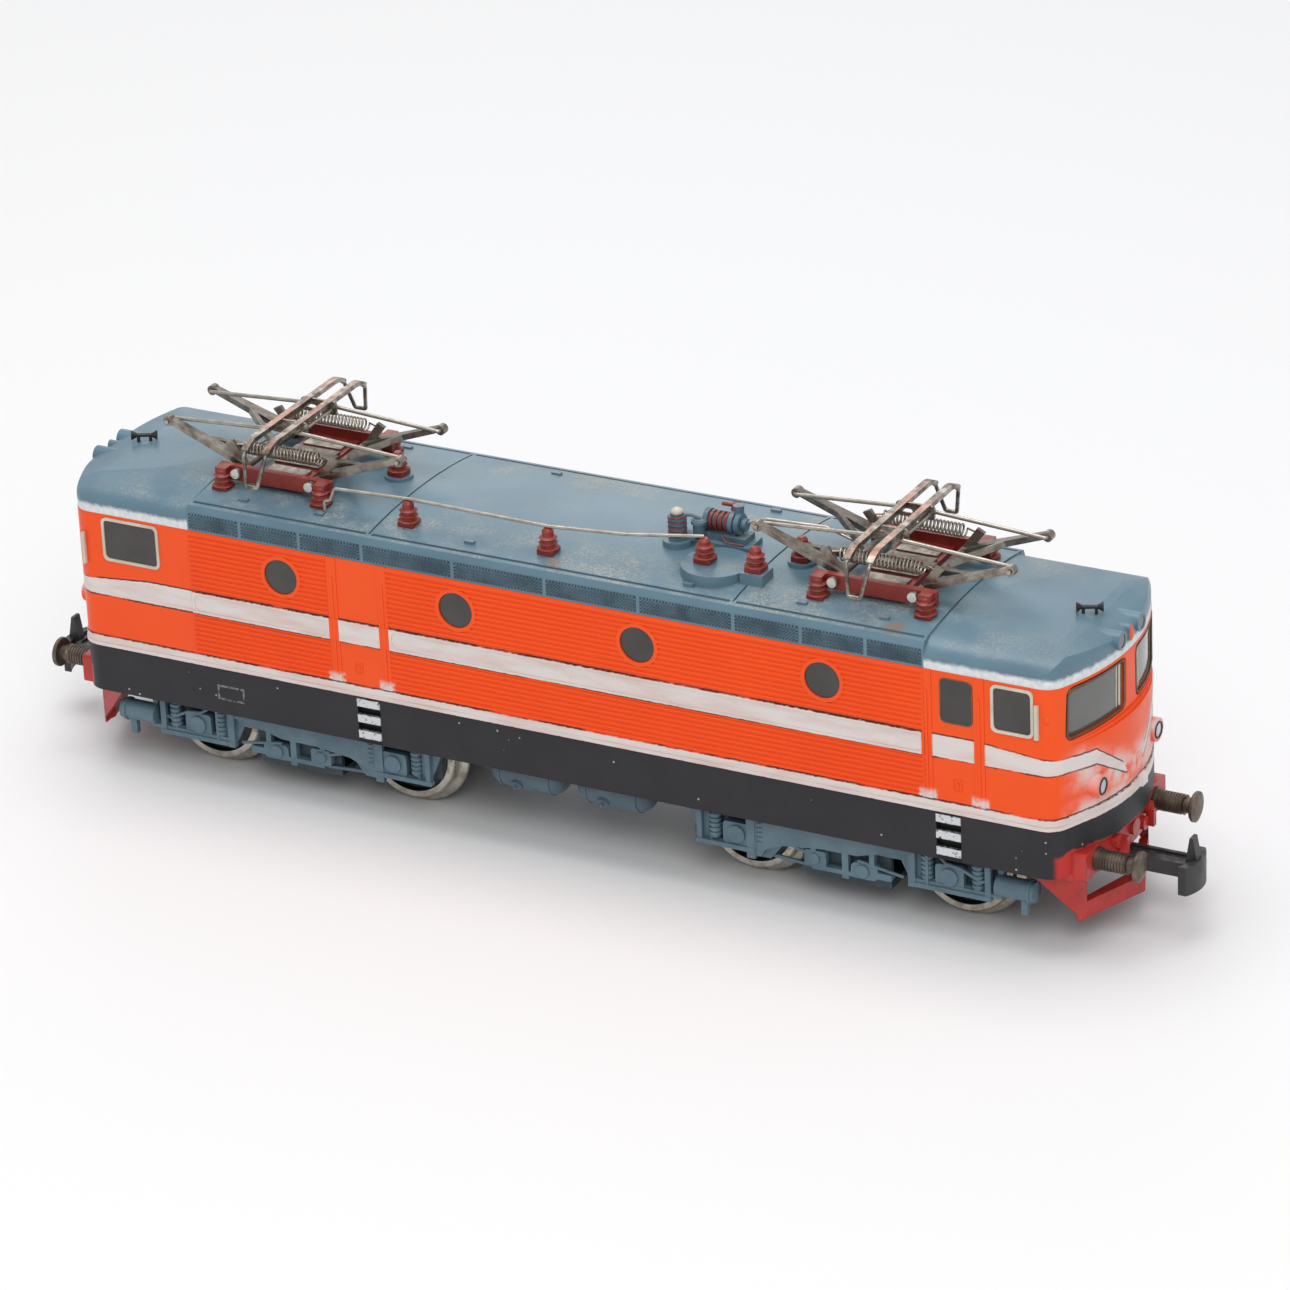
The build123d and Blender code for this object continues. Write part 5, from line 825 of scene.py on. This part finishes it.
def draw_grilles(mesh):
    """Square mesh of thin bars in every pocket of the near side."""
    face = -HALF_WIDTH - 0.02
    back = face + GRILLE_DEPTH
    for start, end in zip(GRILLE_BARS_X, GRILLE_BARS_X[1:]):
        left, right = start + GRILLE_POST / 2, end - GRILLE_POST / 2
        columns = round((right - left) / GRILLE_PITCH)
        for column in range(1, columns):
            x = left + (right - left) * column / columns
            block(mesh, (x - GRILLE_BAR / 2, face, GRILLE_Z[0]), (x + GRILLE_BAR / 2, back, GRILLE_Z[1]))
        for row in range(1, GRILLE_ROWS):
            z = GRILLE_Z[0] + (GRILLE_Z[1] - GRILLE_Z[0]) * row / GRILLE_ROWS
            block(mesh, (left, face, z - GRILLE_BAR / 2), (right, back + 0.02, z + GRILLE_BAR / 2))


piece("roof_grilles", draw_grilles, BODY, "roof_fittings", turned=True)

# ---------------- windscreens, mirrors and lamps
SCREEN_Z = (34.1, 41.2)
SCREEN_Y = (2.1, 14.3)
SCREEN_DROP = 0.2
GASKET_RADIUS = 0.17
INNER_GASKET_RADIUS = 0.14
SCREEN_PILLARS = ((2.95, 0.20), (3.75, 0.11))           # distance from the middle and radius
PILLAR_DEPTH = 0.42
DOOR_WINDOW_X = (61.85, 66.65)
DOOR_WINDOW_Z = (34.35, 41.05)
DOOR_GASKET_RADIUS = 0.13
MIRRORS = ((76.15, 76.75, 34.4, 39.6), (-77.9, -77.4, 33.6, 38.6))
LAMP_RIM_RADIUS = 1.14
LAMP_RIM_WIRE = 0.16
LAMP_GLASS_RADIUS = 1.02
MARKER_Z = 44.4
MARKER_SIZE = (0.35, 0.58, 1.15)
SILL_LIP_Y = (0.4, 2.2)
SILL_LIP_Z = (20.7, 22.3)
CATCH_PLATES_X = (-31.6, 64.3)
CATCH_PLATE_Z = (24.0, 25.8)
CATCH_PLATE_HALF_WIDTH = 0.6
CATCH_Z = (24.5, 25.3)


def rectangle(x, z):
    """Corners of an upright rectangle between two positions along and two heights."""
    return [(x[0], z[0], 0), (x[1], z[0], 0), (x[1], z[1], 0), (x[0], z[1], 0)]


def rounded_loop(corners, radius, steps=5):
    """Closed outline through the corners, each rounded off."""
    points = []
    count = len(corners)
    for index in range(count):
        corner = Vector(corners[index])
        before = (Vector(corners[index - 1]) - corner).normalized()
        after = (Vector(corners[(index + 1) % count]) - corner).normalized()
        for step in range(steps + 1):
            share = step / steps
            start, end = corner + before * radius, corner + after * radius
            points.append(start * (1 - share) ** 2 + corner * 2 * share * (1 - share) + end * share ** 2)
    return points


def screen_loop(side, inset, back):
    """Outline of one windscreen on the bowed end wall."""
    inner, outer = side * (SCREEN_Y[0] + inset), side * (SCREEN_Y[1] - inset)
    corners = [
        (inner, SCREEN_Z[0] + inset, 0), (outer, SCREEN_Z[0] - SCREEN_DROP + inset, 0),
        (outer - side * 0.3, SCREEN_Z[1] - inset, 0), (inner - side * 0.2, SCREEN_Z[1] - inset, 0),
    ]
    dense = []
    loop = rounded_loop(corners, 1.0)
    for index, point in enumerate(loop):
        follow = loop[(index + 1) % len(loop)]
        for step in range(3):
            dense.append(point.lerp(follow, step / 3))
    return [Vector((nose_x(point.x) - back, point.x, point.y)) for point in dense]


def draw_gaskets(mesh):
    """Outer and inner seal of both windscreens."""
    for side in (-1, 1):
        tube(mesh, screen_loop(side, -0.05, 0.10), GASKET_RADIUS, 8, closed=True)
        tube(mesh, screen_loop(side, 0.35, 0.42), INNER_GASKET_RADIUS, 8, closed=True)


def draw_door_gaskets(mesh):
    """Dark seals of the cab door windows."""
    outline = rounded_loop(rectangle(DOOR_WINDOW_X, DOOR_WINDOW_Z), 0.9)
    loop = [Vector((point.x, 0.02 - HALF_WIDTH, point.y)) for point in outline]
    tube(mesh, loop, DOOR_GASKET_RADIUS, 8, closed=True)


def draw_screen_pillars(mesh):
    """Pale inner pillars that show through the glass beside the middle post."""
    for side in (-1, 1):
        for y, radius in SCREEN_PILLARS:
            x = nose_x(y) - PILLAR_DEPTH
            foot = (x, side * y, SCREEN_Z[0] + 0.5)
            head = (x, side * (y - 0.15), SCREEN_Z[1] - 0.4)
            tube(mesh, (foot, head), radius, 8)


piece("door_gaskets", draw_door_gaskets, BODY, "gasket", turned=True)
piece("windscreen_gaskets", draw_gaskets, BODY, "gasket", turned=True)
piece("windscreen_pillars", draw_screen_pillars, BODY, "cream", turned=True)


def draw_mirrors(mesh):
    """Folded mirrors behind the cab side windows and at the rear corner."""
    for start, end, low_z, high_z in MIRRORS:
        block(mesh, (start, -HALF_WIDTH - 0.45, low_z), (end, -HALF_WIDTH + 0.05, high_z))


piece("mirrors", draw_mirrors, BODY, "cream", turned=True)


def draw_lamp_rims(mesh):
    x = HALF_LENGTH - 0.08
    for y in (-LAMP_Y, LAMP_Y):
        ring = []
        for step in range(28):
            angle = math.tau * step / 28
            across = y + LAMP_RIM_RADIUS * math.cos(angle)
            ring.append((x, across, LAMP_Z + LAMP_RIM_RADIUS * math.sin(angle)))
        tube(mesh, ring, LAMP_RIM_WIRE, 8, closed=True)


def draw_lamp_glasses(mesh):
    for y in (-LAMP_Y, LAMP_Y):
        disc(mesh, (HALF_LENGTH - 0.16, y, LAMP_Z), (1, 0, 0), LAMP_GLASS_RADIUS, 0.2)


def draw_markers(mesh):
    """Oval marker between the roof lamps."""
    ball(mesh, (HALF_LENGTH + 0.1, 0, MARKER_Z), 1, MARKER_SIZE)


def draw_sill_lips(mesh):
    """White paint built up on the sill below the jumper socket."""
    low = (HALF_LENGTH + 0.7, SILL_LIP_Y[0], SILL_LIP_Z[0])
    high = (HALF_LENGTH + 1.5, SILL_LIP_Y[1], SILL_LIP_Z[1])
    block(mesh, low, high)


piece("lamp_rims", draw_lamp_rims, BODY, "black", turned=True)
piece("lamp_glasses", draw_lamp_glasses, BODY, "lamp_glass", turned=True)
piece("roof_markers", draw_markers, BODY, "marker", turned=True)
piece("sill_lips", draw_sill_lips, BODY, "white", turned=True)


def draw_door_plates(mesh):
    """Small raised catch plates low on both doors."""
    face = -HALF_WIDTH
    for x in CATCH_PLATES_X:
        width = (x - CATCH_PLATE_HALF_WIDTH, x + CATCH_PLATE_HALF_WIDTH)
        outline = rounded_loop(rectangle(width, CATCH_PLATE_Z), 0.15, 2)
        tube(mesh, [(point.x, face - 0.02, point.y) for point in outline], 0.09, 6, closed=True)
        block(mesh, (x - 0.2, face - 0.14, CATCH_Z[0]), (x + 0.2, face + 0.05, CATCH_Z[1]))


piece("door_plates", draw_door_plates, BODY, "body", turned=True)

# ---------------- circuit breaker
POST_X = 14.5
POST_Y = -3.2
POST_CAP_Z = 52.1
ROD = ((14.8, -3.0, 51.6), (16.4, -2.4, 51.6), (17.6, -1.9, 51.0))
ROD_RADIUS = 0.28
STUB_AND_CAP = (                            # centre, axis, radius and thickness
    ((17.4, -2.0, 49.7), (0, 0, 1), 0.95, 2.6),
    ((17.4, -2.0, 50.6), (0, 0, 1), 1.2, 0.5),
    ((23.9, -0.4, 50.5), (1, 0, 0), 0.9, 0.7),
)
BRACKET = ((22.0, -1.3, 48.7), (22.7, 0.5, 49.8))
BELL = ((21.6, 1.6, 52.0), (0.3, 0.2, 1), 0.75, 1.2)
BELL_PIN = ((20.6, 1.3, 52.4), (1, 0, 0), 0.3, 2.2, 10)
TURNS_RADIUS = 1.3
TURNS_LOW_Z = 48.7
TURNS_PITCH = 0.75
TURNS = 4
COPPER_RADIUS = 0.14
LOOSE_END = ((24.6, -2.4, 48.2), (22.0, -2.8, 48.4), (21.0, -2.2, 48.9))


def draw_breaker_details(mesh):
    """Rod, stub and end cap of the circuit breaker."""
    tube(mesh, ROD, ROD_RADIUS)
    for shape in STUB_AND_CAP:
        disc(mesh, *shape)
    block(mesh, *BRACKET)


piece("breaker_details", draw_breaker_details, BODY, "roof_fittings")


def draw_copper_turns(mesh):
    """Wire wound round the post, and a loose end beside the chamber."""
    winding = []
    for step in range(TURNS * COIL_STEPS + 1):
        angle = math.tau * step / COIL_STEPS
        x = POST_X + TURNS_RADIUS * math.cos(angle)
        y = POST_Y + TURNS_RADIUS * math.sin(angle)
        winding.append((x, y, TURNS_LOW_Z + TURNS_PITCH * step / COIL_STEPS))
    tube(mesh, winding, COPPER_RADIUS, 6)
    tube(mesh, LOOSE_END, COPPER_RADIUS, 6)


piece("copper_turns", draw_copper_turns, BODY, "copper")


def draw_post_cap(mesh):
    ball(mesh, (POST_X, POST_Y, POST_CAP_Z), 0.9, (1, 1, 0.75))


def draw_breaker_top(mesh):
    """Red bell on the far side of the chamber."""
    disc(mesh, *BELL)
    disc(mesh, *BELL_PIN)


piece("post_cap", draw_post_cap, BODY, "cream")
piece("breaker_top", draw_breaker_top, BODY, "insulator")

# ---------------- pantograph details
BASE_PLATE_TOP_Z = 48.4
SHAFT_OFFSET = 6.2
SHAFT_Z = 49.0
CAP_Y = 10.15
CAP_RADIUS = 0.72
CAP_LENGTH = 0.5
LATCH_X = 3.7                               # half length and half width of the locking plate
LATCH_Y = 3.2
TONGUE_X = (0.5, 4.7)
TONGUE_Y = 1.1
STRIP_X = 3.2
STRIP_Y = (4.1, 6.7)
SCREW_RADIUS = 1.0


def middle_x(node):
    """Middle of a CAD node along the locomotive."""
    low, high = box_mm(node)
    return (low.x + high.x) / 2


def latch(x):
    """Locking plate, tongues and screw in the middle of one pantograph base."""
    top = BASE_PLATE_TOP_Z

    def draw(mesh):
        block(mesh, (x - LATCH_X, -LATCH_Y, top), (x + LATCH_X, LATCH_Y, top + 0.4))
        for side in (-1, 1):
            inner, outer = sorted(side * reach for reach in TONGUE_X)
            block(mesh, (x + inner, -TONGUE_Y, top + 0.4), (x + outer, TONGUE_Y, top + 0.75))
            near, far = sorted(side * reach for reach in STRIP_Y)
            block(mesh, (x - STRIP_X, near, top), (x + STRIP_X, far, top + 0.3))
        disc(mesh, (x, 0, top + 0.9), (0, 0, 1), SCREW_RADIUS, 0.6)

    return draw


def shaft_caps(x):
    """Bright ends of one arm shaft, outside both rails of the base."""

    def draw(mesh):
        for side in (-1, 1):
            disc(mesh, (x, side * CAP_Y, SHAFT_Z), (0, 1, 0), CAP_RADIUS, CAP_LENGTH)

    return draw


for place in PANTOGRAPHS:
    middle = middle_x(f"pantograph_base_{place}")
    piece(f"pantograph_latch_{place}", latch(middle), BODY, "pantograph")

for place in PANTOGRAPHS:
    middle = middle_x(f"pantograph_base_{place}")
    for side in ("left", "right"):
        arm = middle_x(f"lower_arm_{side}_{place}")
        caps = shaft_caps(middle + math.copysign(SHAFT_OFFSET, arm - middle))
        piece(f"shaft_caps_{side}_{place}", caps, f"lower_{side}_{place}", "bright")

# ---------------- bogie details
SIDE_FACE_Y = 14.25
DETAIL_DEPTH = 0.35
POSTS = ((-22.6, 7.0, 0.8), (-14.4, 5.7, 1.3), (10.9, 6.4, 1.1), (13.3, 7.0, 0.45), (22.7, 7.0, 0.9))
POST_TOP_Z = 12.6
BARS = ((-23.2, -13.8, 7.0), (10.4, 23.2, 6.9))
BAR_HALF_HEIGHT = 0.35
GUARD_Y = (14.1, 14.95)
BAR_Y = 15.05
BOLTS_X = (-20.9, -14.6, 12.6, 23.4)
BOLTS_Z = (7.6, 11.9)
HOSE = (
    (15.2, 0.0, 11.6), (16.2, 1.0, 11.0), (18.4, 1.4, 10.8),
    (20.2, 1.2, 9.9), (21.4, 1.0, 9.2), (22.6, 0.0, 9.3),
)
BRAKE_RODS = (
    ((-9.6, 0.0, 9.2), (-6.2, 1.0, 8.4), (-2.6, 1.0, 8.3)),
    ((2.4, 1.0, 8.6), (6.2, 1.0, 8.0), (9.4, 0.0, 7.3)),
)
BRAKE_DRUMS = ((-4.4, 7.7, 0.85), (3.2, 7.2, 1.0))
SOLE_PLATE = (
    (-14.6, 12.7), (-14.6, 6.2), (-12.9, 6.2), (-12.2, 7.4), (-9.4, 8.6), (-3.7, 9.3), (2.3, 9.4),
    (8.6, 11.2), (10.6, 11.2), (10.6, 12.7),
)


def on_side(side, route):
    """Points given along the bogie, in detail depths out of its side face, and up."""
    return [(x, side * (SIDE_FACE_Y + DETAIL_DEPTH * out), z) for x, out, z in route]


def draw_guards(mesh, side):
    """Posts, lower bars and bolts that frame the axle boxes."""
    for x, low_z, width in POSTS:
        block(mesh, (x - width / 2, side * GUARD_Y[0], low_z), (x + width / 2, side * GUARD_Y[1], POST_TOP_Z))
    for start, end, z in BARS:
        block(mesh, (start, side * GUARD_Y[0], z - BAR_HALF_HEIGHT), (end, side * BAR_Y, z + BAR_HALF_HEIGHT))
    for x in BOLTS_X:
        for z in BOLTS_Z:
            disc(mesh, *on_side(side, [(x, 0.3, z)]), (0, side, 0), 0.28, 0.5, 10)


def draw_brake_gear(mesh, side):
    """Hose over the outer axle box, and rods and drums under the middle."""
    tube(mesh, on_side(side, HOSE), 0.26, 8)
    for rod in BRAKE_RODS:
        tube(mesh, on_side(side, rod), 0.24, 8)
    for x, z, radius in BRAKE_DRUMS:
        disc(mesh, *on_side(side, [(x, 1.0, z)]), (0, side, 0), radius, 0.9, 16)


def draw_sole_plate(mesh, side):
    """Arched plate over the brake gear."""
    outline = on_side(side, [(x, 0.2, z) for x, z in SOLE_PLATE])
    face = mesh.faces.new([mesh.verts.new(point) for point in outline])
    grown = bmesh.ops.extrude_face_region(mesh, geom=[face])
    bmesh.ops.translate(mesh, vec=(0, side * DETAIL_DEPTH * 1.3, 0), verts=vertices(grown))


def bogie_details(centre, turn):
    """Details of both side frames of one bogie. turn points its outer end outwards."""

    def draw(mesh):
        for side in (-1, 1):
            draw_guards(mesh, side)
            draw_brake_gear(mesh, side)
            draw_sole_plate(mesh, side)
        bmesh.ops.transform(mesh, matrix=turn, verts=mesh.verts)
        bmesh.ops.translate(mesh, vec=(centre, 0, 0), verts=mesh.verts)

    return draw


for body, turn in (("motor_bogie", NO_TURN), ("trailing_bogie", HALF_TURN)):
    details = bogie_details(middle_x(f"{body}_frame"), turn)
    piece(f"{body}_gear", details, body, "bogie")

# ---------------- studio
FLOOR_SIZE = 6.0


def floor_material():
    graph = Graph("floor")
    tone = graph.mix(graph.rise(graph.noise(300, 2), 0.3, 0.7), (0.80, 0.802, 0.81), (0.805, 0.803, 0.80))
    return graph.surface(tone, 0.9, Specular_IOR_Level=0.0)


bpy.ops.mesh.primitive_plane_add(size=FLOOR_SIZE, location=(0, 0, cad_low.z))
floor = bpy.context.object
floor.name = "floor"
floor.data.materials.append(floor_material())


def soft_light(name, location, target, size, power):
    """Round softbox that faces the target."""
    data = bpy.data.lights.new(name, "AREA")
    data.shape = "DISK"
    data.size = size
    data.energy = power
    light = bpy.data.objects.new(name, data)
    light.location = location
    light.rotation_euler = (Vector(target) - Vector(location)).to_track_quat("-Z", "Y").to_euler()
    bpy.context.scene.collection.objects.link(light)


LIGHTS = (                                  # name, place, target, size and power
    ("overhead", (-0.10, 0.05, 0.95), (0, 0, 0.02), 0.8, 4.8),
    ("front_fill", (0.40, -0.65, 0.75), (0, 0, 0.03), 0.6, 3.5),
    ("back_softbox", (-0.50, 0.92, 0.55), (0, 0, 0.05), 0.55, 1.1),
)
for settings in LIGHTS:
    soft_light(*settings)

world = bpy.data.worlds.new("studio")
world.use_nodes = True
surroundings = world.node_tree.nodes["Background"]
surroundings.inputs["Color"].default_value = (0.97, 0.98, 1.0, 1)
surroundings.inputs["Strength"].default_value = 0.57
bpy.context.scene.world = world

# ---------------- camera
AZIMUTH = math.radians(28.94)
ELEVATION = math.radians(25.46)
ROLL = math.radians(-2.63)
DISTANCE = 0.900
AIM_RIGHT = 0.00546
AIM_UP = 0.02462
LENS_MM = 171.25
SENSOR_MM = 36
SHIFT_RIGHT = -0.0044
SHIFT_UP = -0.0012

level_reach = math.cos(ELEVATION)
back = Vector((math.sin(AZIMUTH) * level_reach, -math.cos(AZIMUTH) * level_reach, math.sin(ELEVATION)))
level_right = Vector((math.cos(AZIMUTH), math.sin(AZIMUTH), 0))
level_up = back.cross(level_right)
right = level_right * math.cos(ROLL) + level_up * math.sin(ROLL)
up = level_up * math.cos(ROLL) - level_right * math.sin(ROLL)

camera_data = bpy.data.cameras.new("camera")
camera_data.lens = LENS_MM
camera_data.sensor_width = SENSOR_MM
camera_data.shift_x = SHIFT_RIGHT
camera_data.shift_y = SHIFT_UP
camera_data.clip_start = 0.01
camera_data.clip_end = 50
camera = bpy.data.objects.new("camera", camera_data)
camera.matrix_world = Matrix((
    (right.x, up.x, back.x, 0), (right.y, up.y, back.y, 0), (right.z, up.z, back.z, 0), (0, 0, 0, 1),
))
camera.location = back * DISTANCE + right * AIM_RIGHT + up * AIM_UP
bpy.context.scene.collection.objects.link(camera)
bpy.context.scene.camera = camera
bpy.context.scene.view_settings.view_transform = "Standard"
